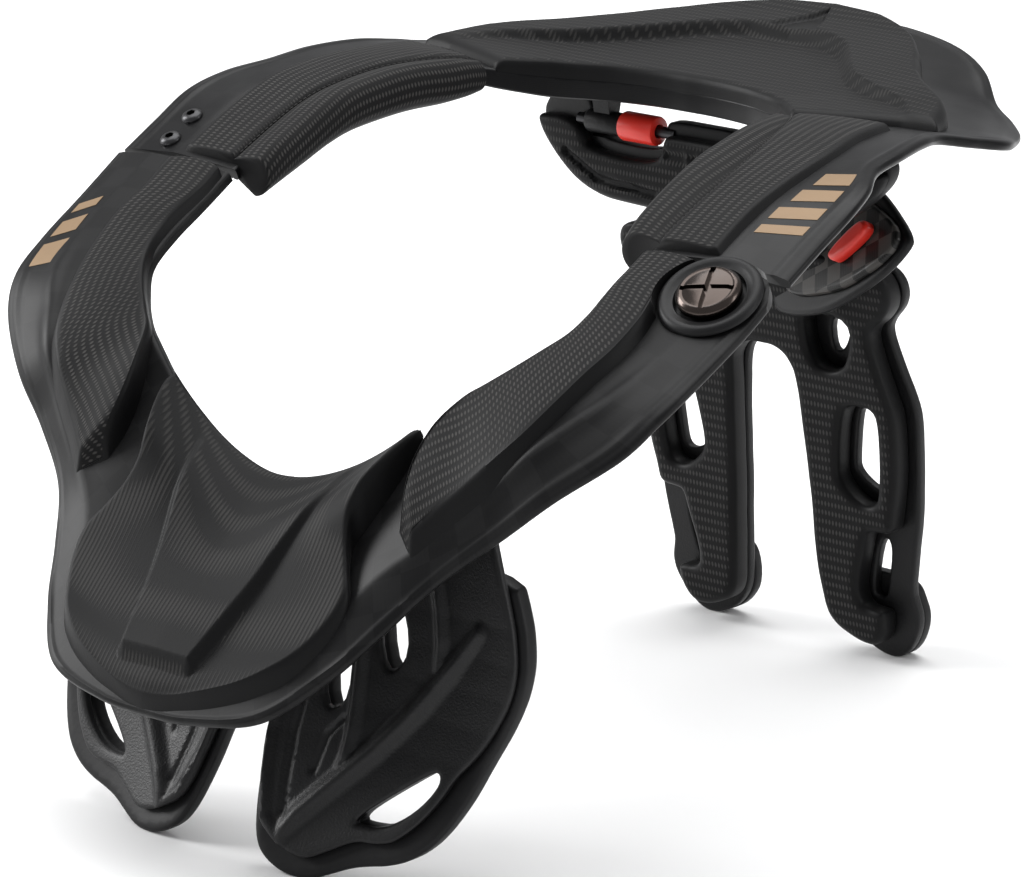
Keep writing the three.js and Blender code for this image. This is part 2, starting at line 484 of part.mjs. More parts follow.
const BACK_WINDOWS = [
  [[24.8, 119], [24.7, 107], [28.6, 107.2], [31.5, 112], [33, 119]],
  [[33, 86], [30.4, 70], [30.4, 65.4], [37, 60.6], [41.6, 60], [43.4, 63.4], [44.4, 85], [42, 89], [35, 88.4]],
  [[34.6, 23.6], [35.8, 21.8], [39, 21.6], [40.6, 24.6], [43.8, 42.4], [39.2, 43.8]],
];
function strutSlab(half, y0, t, windows, grow = 0) {
  let g = prismXZ(rounded(bothSides(half), 1.6, 1), y0, y0 + t);
  if (windows.length) g = cut(g, ...windows.flatMap((w) => [w, flip(w)]).map((w) => prismXZ(rounded(w, 1.8, 1), y0 - 5, y0 + t + 5)));
  return bend(g, 22, strutY);
}
const strutPad = () => strutSlab(STRUT_PAD, 0, STRUT_PAD_T, PAD_WINDOWS);
function strutPlate() {
  const y0 = STRUT_PAD_T + 0.9, y1 = y0 + STRUT_PLATE_T;
  let g = prismXZ(rounded(bothSides(STRUT_BACK), 1.6, 1), y0, y1);
  g = join(g, prismXZ(STRUT_FOOT, y1 - 0.5, y1 + FOOT_T), prismXZ(flip(STRUT_FOOT), y1 - 0.5, y1 + FOOT_T));
  g = cut(g, ...BACK_WINDOWS.flatMap((w) => [w, flip(w)]).map((w) => prismXZ(rounded(w, 1.4, 1), y0 - 5, y1 + 12)));
  return bend(g, 22, strutY);
}
// room the struts take, for fitting the pieces against them
const strutRoom = () => strutSlab(STRUT_BACK, -GAP, 30, []);

const saddleY = (x) => 90.5 + 0.0009 * x * x;
const SADDLE_PAD = [
  [0, 164.4], [5.2, 164.4], [7, 155.2], [12, 154.8], [31, 155], [41, 155.4], [51.4, 158.4], [59.7, 163.6], [67.3, 170.6], [70.6, 175.2], [71.4, 178.6], [67.3, 179.4], [59.7, 180], [53, 178.6],
  [49.4, 175.4], [47.4, 171], [30.8, 170], [20, 170.8], [15.6, 172.6], [14.4, 178.6], [12.6, 180.2], [0, 180.2],
];
const SADDLE_BACK = [
  [0, 163.4], [6.4, 163.4], [8, 156.2], [31, 156], [41, 156.4], [51.4, 159.4], [59.7, 164.6], [67, 171], [70.6, 175.6], [71.6, 180], [69.6, 183.6], [66.4, 187], [51, 187.4], [48.6, 184.8],
  [46.8, 174.6], [30, 173.6], [19, 174.2], [16.6, 176.4], [16, 182.4], [14, 184.4], [0, 184.4],
];
const saddleSlab = (half, y0, t) => bend(prismXZ(rounded(bothSides(half), 1.2, 1), y0, y0 + t), 16, saddleY);

// ---------------------------------------------------------------- chest plates
// height-dependent lean of a plate, and the plate's face
const CHEST_LEAN = [[0, 0], [10, 5.3], [20, 10.6], [30, 15.9], [40, 20.8], [50, 25], [60, 28.5], [70, 31.3], [80, 33.4], [90, 34.7], [100, 35.7], [140, 39.7]];
const chestY = (x, z) => -146.5 + 0.308 * Math.abs(x) - 0.0022 * x * x + along(CHEST_LEAN, z);
const CHEST_T = 2.6, RIM_T = 7;
const CHEST = [
  [9.4, 98], [9.4, 38.8], [12, 26], [13.8, 18.8], [16.4, 13.6], [20.4, 10.9], [24.6, 8.8], [28.7, 7.2], [34.7, 6.3], [39.5, 8.5], [45.5, 11.8], [50.4, 14], [55.6, 14.2], [60.5, 15.2], [63.7, 16.5], [69.8, 22],
  [75, 29.6], [78.2, 36.8], [83.1, 42.4], [87, 49.3], [90.6, 58.1], [91.6, 65.8], [90.4, 73.7], [87, 83.6], [81.4, 96.6], [76, 112], [72, 125], [68, 138], [60, 130], [52, 121], [42, 112], [30, 106], [20, 102],
];
const CHEST_RIM = [
  [6.9, 95], [6.9, 39.5], [8.7, 31.3], [9.4, 25.3], [11.4, 16.6], [13.9, 9.2], [17.3, 4.6], [23.2, 1.4], [29, 0], [35.7, 0], [42, 2.4], [48.7, 5.4], [55, 7], [61, 8.2], [67.8, 10.8], [73.6, 14.9],
  [77.6, 19.8], [80.9, 25.9], [83.5, 32], [86, 40], [89.4, 48], [92.4, 57], [93.6, 66], [92.4, 74.6], [88.8, 84.6], [83.4, 95],
];
const CHEST_HOLES = [
  [[46.9, 18.6], [51.5, 23.3], [68.8, 36], [72.1, 36.7], [73, 33], [67, 24.7], [58, 18.8], [50.1, 18.1]],    // lower slot
  [[25.2, 45.4], [21, 72], [27.5, 76], [34.3, 49.8]],                                                         // upper windows
  [[43.1, 57.9], [36.4, 82], [43.5, 86], [52, 65.5]],
];
// ribs on a chest plate's face: x, z, half width and height along each rib
const RIB = ['x', 'z', 'w', 'h'];
const CHEST_RIBS = [
  rowsOf(RIB, [[24.5, 9.8, 2, 0.8], [25.4, 13.6, 2.4, 2], [28.6, 18.8, 2.8, 2.8], [37.5, 28.6, 3, 3], [47.6, 39.2, 3, 3], [58.4, 52.1, 3, 3], [67.8, 65.5, 2.8, 2.6], [75.7, 77.4, 2.2, 1.4]]),
  rowsOf(RIB, [[10.8, 60, 1.2, 1], [10.9, 39, 1.4, 1.4], [13.4, 28, 1.5, 1.4], [17.6, 16, 1.6, 1.4], [23.6, 11, 1.6, 1]]),
  rowsOf(RIB, [[36.6, 31.5, 1.6, 1], [38.2, 36, 2, 2], [37.9, 43, 2, 2.2], [36.2, 56, 2, 2.2], [33.4, 78, 2, 2.2]]),
  rowsOf(RIB, [[63.2, 63, 1.6, 1], [62.5, 73, 2, 1.8], [60.5, 81.8, 2, 2], [57, 96, 2, 2]]),
];
function chestRib(rows) {
  const rings = [], n = (rows.length - 1) * 2;
  for (let k = 0; k <= n; k++) {
    const u = k / 2, r = at(rows, u), a = at(rows, Math.max(0, u - 0.1)), b = at(rows, Math.min(rows.length - 1, u + 0.1));
    const tx = b.x - a.x, tz = b.z - a.z, l = Math.hypot(tx, tz), sx = -tz / l, sz = tx / l;
    const q = (s, d) => [r.x + sx * s, 1.2 - d, r.z + sz * s];
    rings.push([q(-r.w, 0), q(-r.w * 0.55, r.h * 0.8 + 1.2), q(0, r.h + 1.2), q(r.w * 0.55, r.h * 0.8 + 1.2), q(r.w, 0)]);
  }
  return loft(rings);
}
function grownHole(h, k) {
  const c = h.reduce((a, p) => [a[0] + p[0] / h.length, a[1] + p[1] / h.length], [0, 0]);
  return h.map(([x, z]) => [c[0] + (x - c[0]) * k, c[1] + (z - c[1]) * k]);
}
function chestPlate() {
  let g = join(prismXZ(CHEST, 0, CHEST_T), ...CHEST_RIBS.map(chestRib));
  g = cut(g, ...CHEST_HOLES.map((h) => prismXZ(rounded(h, 2, 1), -20, 20)));
  return seat(bend(g, 15, chestY), shell(FRONT, 1.5, GAP, 70));
}
function chestRim() {
  const y0 = CHEST_T + GAP;
  const g = cut(prismXZ(CHEST_RIM, y0, y0 + RIM_T), ...CHEST_HOLES.map((h) => prismXZ(rounded(grownHole(h, 1.08), 2, 1), -20, 20)));
  return seat(bend(g, 15, chestY), shell(FRONT, 1.5, GAP, 70));
}

// ---------------------------------------------------------------- scene graph
const mat = (color, roughness, metalness = 0) => new THREE.MeshStandardMaterial({ color, roughness, metalness });
const carbon = mat(0x2b2b2d, 0.3), satin = mat(0x3a3a3c, 0.45), cloth = mat(0x2a2a2d, 0.9), plastic = mat(0x232325, 0.6);
const foam = mat(0x161617, 0.8), red = mat(0xd8352c, 0.4), bronze = mat(0x5a4a3c, 0.25, 1), steel = mat(0x6a6a6c, 0.35, 1);

const brace = new THREE.Group();
brace.position.y = Y_SHIFT;
function add(name, geometry, material) {
  const m = new THREE.Mesh(geometry, material);
  m.name = name;
  brace.add(m);
  return m;
}
const pair = (name, geometry, material) => { add(name + '_left', geometry, material); add(name + '_right', mirrored(geometry), material); };

add('front_frame', frontShell(), satin);
add('rear_frame', rearShell(), carbon);
{
  add('front_arm_pad_left', armPad(true), cloth);
  add('front_arm_pad_right', mirrored(armPad(false)), cloth);
}
add('chin_pad', chinPad(), cloth);
pair('rear_arm_pad', rearArmPad(), cloth);
add('rear_table_pad', tablePad(), cloth);

// hinge screw with its rubber ring, on the wearer's left
{
  const c = V(PIVOT.x, PIVOT.y, PIVOT.z);
  add('hinge_ring', turned([[SCREW_R + 1.9, 1.0], [BOSS_R - 0.6, 1.0], [BOSS_R, 1.8], [BOSS_R - 0.7, 4.2], [BOSS_R - 2.4, 5.2], [SCREW_R + 2.8, 4.4], [SCREW_R + 1.9, 3.2], [SCREW_R + 1.9, 1.0]], PIVOT_AXIS, c, 36), foam);
  const head = turned([[0, -6.5], [3, -6.5], [3, 1.2], [SCREW_R - 0.4, 1.2], [SCREW_R, 1.8], [SCREW_R, 3.6], [SCREW_R - 1.4, 5.0], [0, 5.4]], PIVOT_AXIS, c, 32);
  const along = V(1, 0, 0).sub(PIVOT_AXIS.clone().multiplyScalar(PIVOT_AXIS.x)).normalize(), side = PIVOT_AXIS.clone().cross(along);
  const slots = [along.clone().add(side.clone().multiplyScalar(0.35)).normalize()];
  slots.push(PIVOT_AXIS.clone().cross(slots[0]));
  const tools = slots.map((d) => {
    const b = new THREE.BoxGeometry(2 * SCREW_R * 0.82, 1.6, 2.2);
    b.applyMatrix4(new THREE.Matrix4().makeBasis(d, PIVOT_AXIS.clone().cross(d), PIVOT_AXIS));
    const t = c.clone().add(PIVOT_AXIS.clone().multiplyScalar(5.2));
    b.translate(t.x, t.y, t.z);
    return b;
  });
  add('hinge_screw', cut(head, ...tools), bronze);
}

// two socket screws on the far side of the rear shell
{
  const spots = [[-118, -29.5], [-119, -18.5]].map(([x, y]) => V(x, y, rearZ(x, y)));
  spots.forEach((p, i) => {
    const n = V(0, -0.42, 0.9).normalize();
    const head = turned([[0, GAP], [3.5, GAP], [3.5, 0.9], [2.7, 1.9], [0, 2.1]], n, p, 24);
    const hex = new THREE.CylinderGeometry(1.5, 1.5, 3, 6);
    hex.applyQuaternion(new THREE.Quaternion().setFromUnitVectors(V(0, 1, 0), n));
    hex.translate(p.x + n.x * 2.6, p.y + n.y * 2.6, p.z + n.z * 2.6);
    add('shell_bolt_' + (i + 1), cut(head, hex), steel);
  });
}

// tilt hinge of the thoracic unit: table lugs with barrels, red collars, pins
{
  const X = V(1, 0, 0), tube = (x0, x1, r, bore) => turned([[bore, x0], [r, x0], [r, x1], [bore, x1], [bore, x0]], X, V(0, PIN.y, PIN.z), 28);
  const lug = (() => {
    const web = box(38.5, 44.5, PIN.y - 2.6, PIN.y + 2.6, PIN.z, 206);
    const trimmed = cut(web, cylinderAt(PIN_R + GAP, 40, X, V(42, PIN.y, PIN.z), 20), shell(REAR, 1.5, GAP, 30));
    return join(tube(BARREL_X[0], BARREL_X[1], BARREL_R, PIN_R + GAP), trimmed);
  })();
  pair('pin_barrel', lug, plastic);
  pair('tilt_collar', tube(COLLAR_X[0], COLLAR_X[1] - 0.05, COLLAR_R, PIN_R + GAP), red);
  pair('tilt_pin', cylinderAt(PIN_R, 41.0, X, V(32.5, PIN.y, PIN.z), 20), steel);
}

// saddle: padded face, hard back with the eyes for the pins and the neck down to the struts
{
  const X = V(1, 0, 0);
  const pinRoom = [1, -1].map((k) => cylinderAt(PIN_R + GAP, 44, X, V(k * 32.4, PIN.y, PIN.z), 20));
  add('saddle_pad', cut(saddleSlab(SADDLE_PAD, 0, 4), ...pinRoom), cloth);
  const back = saddleSlab(SADDLE_BACK, 4 + GAP, 6.6);
  const neck = prismXZ(rounded([[-19, 128], [19, 128], [19, 150], [26, 160], [26, 168], [-26, 168], [-26, 160], [-19, 150]], 4, 2), 96, 101);
  const shelf = (() => {
    const g = new THREE.ExtrudeGeometry(new THREE.Shape([[96.4, 160], [101, 164], [122, 143], [133.4, 128], [131, 118], [126, 131], [118, 139]].map(([y, z]) => new THREE.Vector2(y, z))), { depth: 38, bevelEnabled: false });
    g.applyMatrix4(new THREE.Matrix4().set(0, 0, 1, -19, 1, 0, 0, 0, 0, 1, 0, 0, 0, 0, 0, 1));
    return g;
  })();
  let hard = join(back, neck);
  for (const s of [1, -1]) hard = cut(hard,
    pinRoom[s > 0 ? 0 : 1],
    cylinderAt(COLLAR_R + 0.8, BARREL_X[1] - COLLAR_X[0] + 0.9, X, V(s * (COLLAR_X[0] + BARREL_X[1]) / 2, PIN.y, PIN.z), 24));
  add('saddle_shell', seat(join(hard, shelf), saddleSlab(SADDLE_BACK, -1, 5 + GAP), strutRoom()), plastic);
  add('strut_plate', strutPlate(), plastic);
  add('strut_pad', strutPad(), cloth);
}

// side bracket: a layered pod beside the struts, carbon face, red lever in its slot
{
  const at0 = V(13, 118, 126.4), S = V(0.854, -0.1011, 0.5104), T = V(-0.3875, 0.5311, 0.7535), N = V(-0.3472, -0.8413, 0.4144);
  const frame = new THREE.Matrix4().makeBasis(S, T, N).setPosition(at0);
  const slab = (poly, r, z0, z1) => {
    const g = new THREE.ExtrudeGeometry(new THREE.Shape(rounded(poly, r, 2).map(([a, b]) => new THREE.Vector2(a, b))), { depth: z1 - z0, bevelEnabled: false });
    g.translate(0, 0, z0);
    return g.applyMatrix4(frame);
  };
  const RIM = [[-7.7, -0.8], [2.3, -7.2], [17, -12.3], [29, -13.4], [50, -11.6], [63.1, -6.3], [64.4, -2.1], [55, 12], [47, 22], [40, 26], [10, 24], [-4, 14]];
  const LAYER = [[-4, 0], [-2.4, -4.2], [12.4, -9.4], [24.4, -10.5], [45.5, -8.7], [58.7, -3.4], [59.9, 0.8], [50, 14], [44, 21], [38, 24], [12, 22], [0, 12]];
  const FACE = [[2, 2], [8, -3], [18, -6.4], [31, -9.6], [43, -9.4], [57.5, -7.2], [62.6, -0.4], [46.5, 16.4], [37, 22], [12, 20], [3, 11]];
  const LEVER = [[29.5, 2.6], [32, -1.2], [36, -1.8], [50.8, 2.2], [49.8, 6.8], [45, 8.2]];
  const SLOT = [[31, 0.6], [47, 5], [46, 8], [30, 3.6]];
  const STEM = [[33, 1.6], [44.8, 4.8], [44.2, 6.8], [32.4, 3.6]];
  const rim = join(slab(RIM, 3, -5.5, -2.55), slab(LAYER, 3, -9, -5.4));
  add('side_bracket', seat(rim, strutRoom(), saddleSlab(SADDLE_BACK, -GAP, 30)), plastic);
  add('bracket_face', seat(cut(slab(FACE, 2.5, -2.2, 0), slab(SLOT, 0.8, -5, 5)), strutRoom(), saddleSlab(SADDLE_BACK, -GAP, 30)), carbon);
  add('release_lever', join(slab(LEVER, 1.2, GAP, 4.4), slab(STEM, 0.5, -1.9, 1)), red);
}

pair('chest_plate', chestPlate(), plastic);
pair('chest_rim', chestRim(), foam);

export default brace;
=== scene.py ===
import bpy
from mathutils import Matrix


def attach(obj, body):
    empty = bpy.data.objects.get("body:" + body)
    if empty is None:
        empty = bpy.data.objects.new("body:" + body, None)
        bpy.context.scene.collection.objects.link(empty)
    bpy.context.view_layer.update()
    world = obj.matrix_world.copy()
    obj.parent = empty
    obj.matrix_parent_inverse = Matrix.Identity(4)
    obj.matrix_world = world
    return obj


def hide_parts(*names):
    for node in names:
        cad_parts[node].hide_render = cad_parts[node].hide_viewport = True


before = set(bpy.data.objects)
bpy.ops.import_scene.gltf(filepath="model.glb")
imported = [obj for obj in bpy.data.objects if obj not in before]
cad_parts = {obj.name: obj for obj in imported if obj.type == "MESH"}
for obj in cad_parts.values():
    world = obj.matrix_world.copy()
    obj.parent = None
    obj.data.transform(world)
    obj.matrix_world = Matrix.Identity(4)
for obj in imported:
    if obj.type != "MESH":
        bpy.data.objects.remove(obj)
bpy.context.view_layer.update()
# Looks of a motocross neck brace: carbon shells, embossed pads, ribbed chest plates,
# layered back struts. Shapes are built in millimetres and turned into metres at the end.
import math

import bpy
import bmesh
import numpy as np
from mathutils import Matrix, Vector
from mathutils.geometry import delaunay_2d_cdt

Y_SHIFT = -6.1
MM = 0.001
SHELL_T = 3.4
PIVOT = np.array([118.0, -49.0, 174.2])
AXIS = np.array([0.09, -0.53, 0.843]); AXIS /= np.linalg.norm(AXIS)
SCREW_R, BOSS_R, SWING_R = 9.9, 15.9, 17.6
PIN_Y, PIN_Z = 95.8, 180.0
BARREL_X, COLLAR_X = (34.2, 48.4), (19.3, 33.9)

# ------------------------------------------------------------------ tables
FRONT = np.array([
    [84, -38.4, 180.0, 119, -37.2, 181.0, 135, -37.2, 178.8, 4], [83.6, -52, 172.5, 119, -54, 171.6, 134.8, -54, 168.4, 4],
    [83.5, -64, 166, 117, -72, 161, 133.5, -73.5, 157.8, 4], [82, -76, 158.5, 112, -87, 152, 131, -88, 149, 4],
    [77, -84, 152.5, 105, -96.5, 144.8, 124.5, -98, 138.4, 5.5], [70, -90, 146.5, 97, -106, 136, 108.5, -109.3, 124.6, 5],
    [62, -95, 141, 87, -112, 123.5, 93, -115, 111, 5], [52, -98, 132.5, 73.5, -119.5, 110, 77.8, -123.1, 97.4, 5],
    [42, -101, 125, 60, -128, 98, 67.3, -135.4, 83.5, 5], [30, -104, 117.5, 49, -140, 83, 57, -149, 70.1, 5],
    [18, -106, 112, 34, -153, 68.5, 41.8, -162, 58, 5], [8, -106, 109.5, 15, -159.5, 62, 18, -166.6, 53.4, 5],
    [0, -105.5, 108.5, 0, -160, 61.5, 0, -167, 52.4, 5]], float)
REAR = np.array([
    [84, -35.6, 180.4, 112, -34.8, 181.8, 135, -34.2, 179.8, 4.2], [84, -22, 186.6, 112, -21, 188.6, 134.9, -20, 187.4, 4.2],
    [83, -6, 193, 112, -6, 195.2, 134.8, -5.5, 194.8, 4.2], [82, 8, 197.4, 111, 8, 199.4, 131.4, 8.2, 199.2, 4.2],
    [80, 22, 200.4, 109, 22, 202, 124.6, 21.5, 202, 4.2], [76, 36, 202, 106, 38, 203.6, 122, 38, 203.9, 4.2],
    [71, 48, 202.4, 101, 54, 203.6, 117.8, 55, 204.3, 4.5], [65, 56, 201.6, 95, 66, 202.4, 114.6, 68, 202.8, 5.5],
    [59, 63, 200.4, 92, 78, 200.4, 117.4, 82, 199.8, 6.5], [53, 69, 199.2, 90, 92, 199.4, 119.4, 96, 196.8, 7],
    [47, 74, 198.4, 84, 103, 199, 111, 112, 193.4, 7.5], [41, 77.5, 198, 76, 112, 199, 102.6, 126, 191.9, 7.5],
    [35, 80, 198, 68, 120, 199.4, 92, 137, 192.4, 7.5], [28, 82.5, 198, 58, 130, 200, 78.3, 147.2, 194.9, 7.5],
    [21, 84, 198, 47, 141, 200.8, 64, 160, 201.6, 7.5], [14, 85, 198, 34, 150, 201.6, 46, 170, 205.6, 7.5],
    [7, 85.5, 198, 18, 154, 202, 22, 177, 207.6, 7.5], [0, 85.5, 198, 0, 155, 202, 0, 178.6, 208.2, 7.5]], float)
ARM_PAD = np.array([
    [107.4, -40.6, 183.0, 86.2, -40.2, 182.8], [105.6, -49, 179.4, 85.6, -47, 178.6], [104.2, -57, 175.6, 85.6, -53.5, 175.4],
    [105.6, -66, 170.2, 86, -60, 172], [104.7, -76.8, 163.2, 85.8, -66.2, 168], [102, -87, 156.8, 84.4, -73.4, 163.6],
    [98.5, -97.5, 148.8, 80.4, -80.6, 159.2], [94.2, -106, 141, 75, -86.6, 154.4], [88.5, -111.3, 134, 69, -91.6, 149.6],
    [82, -115, 126.6, 63.6, -96.4, 145.2], [75.4, -118.4, 119.4, 59.8, -105, 138], [69.5, -121.8, 112.8, 58.6, -113, 128],
    [66.8, -123.4, 110, 60.2, -119.5, 117]], float)
REAR_PAD = np.array([
    [107, -33.4, 184.6, 87, -33.6, 184.8, 78.6, 178.6, 7.2, 6.6], [106.6, -26, 188.6, 87, -26.4, 188.2, 78, 182.6, 7.8, 7.4],
    [106.4, -15, 193.9, 87, -16, 192.9, 77.4, 187.2, 8.2, 7.8], [107, -3, 198.4, 87, -5, 197.2, 77, 191.6, 8.4, 8],
    [107.4, 8, 201.6, 86, 5.5, 200.6, 76, 194.8, 8.4, 8], [106.4, 20, 203.6, 83.4, 18.6, 203.5, 74, 197, 8.2, 8],
    [104.4, 31, 204.9, 80, 30, 205.2, 71.5, 198.2, 8, 7.8], [101.8, 42, 205.6, 75.2, 42, 205.8, 68.5, 198.4, 7.4, 7.4],
    [100, 52, 205.6, 70.4, 50.6, 205.7, 65.2, 198.8, 6.4, 6.4], [98, 61, 205.2, 66.8, 56, 204.8, 62.4, 199.2, 5, 5.2]], float)
CHIN = np.array([
    [-104.6, 112.6, 50.4, -98.2, 135.4, 1.9], [-109.5, 110.4, 50.6, -103.6, 134.2, 1.9], [-116, 105.4, 48.6, -110.6, 129.8, 1.8],
    [-122.5, 99.8, 45.8, -117.6, 123.6, 1.7], [-128.5, 94.6, 44.4, -122.2, 115.6, 1.6], [-134.5, 89.6, 46.4, -126, 107.6, 1.6],
    [-140, 84.6, 50.4, -130.4, 100.2, 1.7], [-145.5, 79.8, 54, -135, 94, 1.8], [-151, 75, 53.4, -140.8, 87, 1.8],
    [-156, 70.6, 49.8, -147.4, 79.8, 1.9], [-160.4, 66.6, 44, -154, 74, 1.9], [-163.8, 62.8, 34.6, -159.2, 68.2, 2],
    [-165.6, 59.6, 22, -163.2, 63.6, 2], [-166.4, 58.2, 10, -165.4, 60.2, 2]], float)
TONGUE = [(-161.6, 14.4, 0), (-160.4, 15.4, 4.6), (-156, 16.6, 4.8), (-145, 19.6, 4.8), (-134, 23, 4.4), (-124, 26.6, 3.4), (-115, 29, 1.8), (-106, 31, 0.2)]
TABLE = np.array([
    [7.8, 0.86, 3.4, 0.2, 0.84], [8.4, 0.82, 4, 1.4, 0.76], [9.2, 0.77, 4.6, 2.8, 0.66], [10, 0.72, 5, 3.6, 0.58], [11, 0.7, 5, 4.2, 0.54],
    [12, 0.7, 5, 4.6, 0.52], [13, 0.72, 5, 4.8, 0.53], [14, 0.75, 5, 5, 0.55], [15, 0.8, 5, 5, 0.57], [16, 0.86, 5, 5, 0.58], [17, 0.88, 5, 5, 0.58]], float)
STRUT_FACE = [(0, 141), (14, 137.6), (21.6, 136.2), (28.6, 134.9), (35.5, 134), (42.4, 133.2), (49, 132.8), (56, 132.1), (62.7, 131.1), (69.4, 130.3), (80, 128.7), (90.6, 127.3), (101.4, 125.1), (127, 121), (140, 117), (145, 115.4)]
STRUT_PAD = [
    (0, 106.5), (5, 106.5), (9.5, 104.5), (12, 101), (13.2, 97.7), (14.3, 82), (15.7, 59.7), (16.5, 42), (17.1, 31.4), (18.2, 22.4), (19.3, 15), (22.4, 10.5), (26.8, 8), (33, 5.6), (39, 5.6), (43, 11),
    (43.8, 17.6), (42.5, 19), (36.2, 19.2), (33.6, 22.2), (34, 29.2), (36.7, 38.3), (38.7, 46.2), (41, 47.3), (48.9, 47.6), (50, 54), (52, 63), (53.3, 76), (53.3, 89.2), (51.4, 96), (48.6, 105), (46, 114),
    (46.4, 119), (52, 123.5), (55.6, 129), (56.2, 134.5), (54, 139.5), (48, 142), (0, 143)]
STRUT_BACK = [
    (0, 108), (8, 106), (12.6, 99), (14.6, 82), (16, 60), (17.4, 31), (18.6, 21), (20, 13), (25, 6), (31, 2), (36, 0), (42, 0), (47.4, 4.5), (51.6, 12), (52.6, 17.5), (51.6, 22), (50.6, 26), (52.6, 37),
    (55.4, 56), (56.9, 76.6), (57.3, 88), (55.8, 96), (51.6, 107), (48.4, 117), (49.4, 121), (55, 127), (57.2, 133), (55.5, 139), (49, 142), (0, 143)]
STRUT_FOOT = [(19, 27), (18.8, 14), (24.5, 6), (30.5, 2), (36, 0), (42, 0), (47.4, 4.5), (51.4, 12), (52.4, 17.5), (51.2, 22), (49.6, 27), (44, 30), (25, 30)]
PAD_WINDOWS = [
    [(19.4, 121), (19.3, 112), (21, 105.5), (24.5, 101.8), (31, 101.8), (36, 106), (38.8, 121)],
    [(31, 86), (28.4, 70), (28.4, 63.7), (32.7, 59), (37.7, 56), (42.4, 56.6), (44.8, 61), (46.2, 86), (43.4, 91), (34, 90.4)]]
BACK_WINDOWS = [
    [(24.8, 119), (24.7, 107), (28.6, 107.2), (31.5, 112), (33, 119)],
    [(33, 86), (30.4, 70), (30.4, 65.4), (37, 60.6), (41.6, 60), (43.4, 63.4), (44.4, 85), (42, 89), (35, 88.4)],
    [(34.6, 23.6), (35.8, 21.8), (39, 21.6), (40.6, 24.6), (43.8, 42.4), (39.2, 43.8)]]
SADDLE_PAD = [
    (0, 164.4), (5.2, 164.4), (7, 155.2), (12, 154.8), (31, 155), (41, 155.4), (51.4, 158.4), (59.7, 163.6), (67.3, 170.6), (70.6, 175.2), (71.4, 178.6), (67.3, 179.4), (59.7, 180), (53, 178.6),
    (49.4, 175.4), (47.4, 171), (30.8, 170), (20, 170.8), (15.6, 172.6), (14.4, 178.6), (12.6, 180.2), (0, 180.2)]
SADDLE_BACK = [
    (0, 163.4), (6.4, 163.4), (8, 156.2), (31, 156), (41, 156.4), (51.4, 159.4), (59.7, 164.6), (67, 171), (70.6, 175.6), (71.6, 180), (69.6, 183.6), (66.4, 187), (51, 187.4), (48.6, 184.8),
    (46.8, 174.6), (30, 173.6), (19, 174.2), (16.6, 176.4), (16, 182.4), (14, 184.4), (0, 184.4)]
CHEST_LEAN = [(0, 0), (10, 5.3), (20, 10.6), (30, 15.9), (40, 20.8), (50, 25), (60, 28.5), (70, 31.3), (80, 33.4), (90, 34.7), (100, 35.7), (140, 39.7)]
CHEST = [
    (9.4, 98), (9.4, 38.8), (12, 26), (13.8, 18.8), (16.4, 13.6), (20.4, 10.9), (24.6, 8.8), (28.7, 7.2), (34.7, 6.3), (39.5, 8.5), (45.5, 11.8), (50.4, 14), (55.6, 14.2), (60.5, 15.2), (63.7, 16.5), (69.8, 22),
    (75, 29.6), (78.2, 36.8), (83.1, 42.4), (87, 49.3), (90.6, 58.1), (91.6, 65.8), (90.4, 73.7), (87, 83.6), (81.4, 96.6), (76, 112), (72, 125), (68, 138), (60, 130), (52, 121), (42, 112), (30, 106), (20, 102)]
CHEST_RIM = [
    (6.9, 95), (6.9, 39.5), (8.7, 31.3), (9.4, 25.3), (11.4, 16.6), (13.9, 9.2), (17.3, 4.6), (23.2, 1.4), (29, 0), (35.7, 0), (42, 2.4), (48.7, 5.4), (55, 7), (61, 8.2), (67.8, 10.8), (73.6, 14.9),
    (77.6, 19.8), (80.9, 25.9), (83.5, 32), (86, 40), (89.4, 48), (92.4, 57), (93.6, 66), (92.4, 74.6), (88.8, 84.6), (83.4, 95)]
CHEST_HOLES = [
    [(46.9, 18.6), (51.5, 23.3), (68.8, 36), (72.1, 36.7), (73, 33), (67, 24.7), (58, 18.8), (50.1, 18.1)],
    [(25.2, 45.4), (21, 72), (27.5, 76), (34.3, 49.8)],
    [(43.1, 57.9), (36.4, 82), (43.5, 86), (52, 65.5)]]
CHEST_RIBS = [
    [(24.5, 9.8, 2, 0.8), (25.4, 13.6, 2.4, 2), (28.6, 18.8, 2.8, 2.8), (37.5, 28.6, 3, 3), (47.6, 39.2, 3, 3), (58.4, 52.1, 3, 3), (67.8, 65.5, 2.8, 2.6), (75.7, 77.4, 2.2, 1.4)],
    [(10.8, 60, 1.2, 1), (10.9, 39, 1.4, 1.4), (13.4, 28, 1.5, 1.4), (17.6, 16, 1.6, 1.4), (23.6, 11, 1.6, 1)],
    [(36.6, 31.5, 1.6, 1), (38.2, 36, 2, 2), (37.9, 43, 2, 2.2), (36.2, 56, 2, 2.2), (33.4, 78, 2, 2.2)],
    [(63.2, 63, 1.6, 1), (62.5, 73, 2, 1.8), (60.5, 81.8, 2, 2), (57, 96, 2, 2)]]
CHEST_GROOVES = [[(22.6, 17.9), (20.3, 28.1), (18.7, 39), (18.7, 52)], [(28.5, 30), (29.5, 40), (33.5, 45)]]


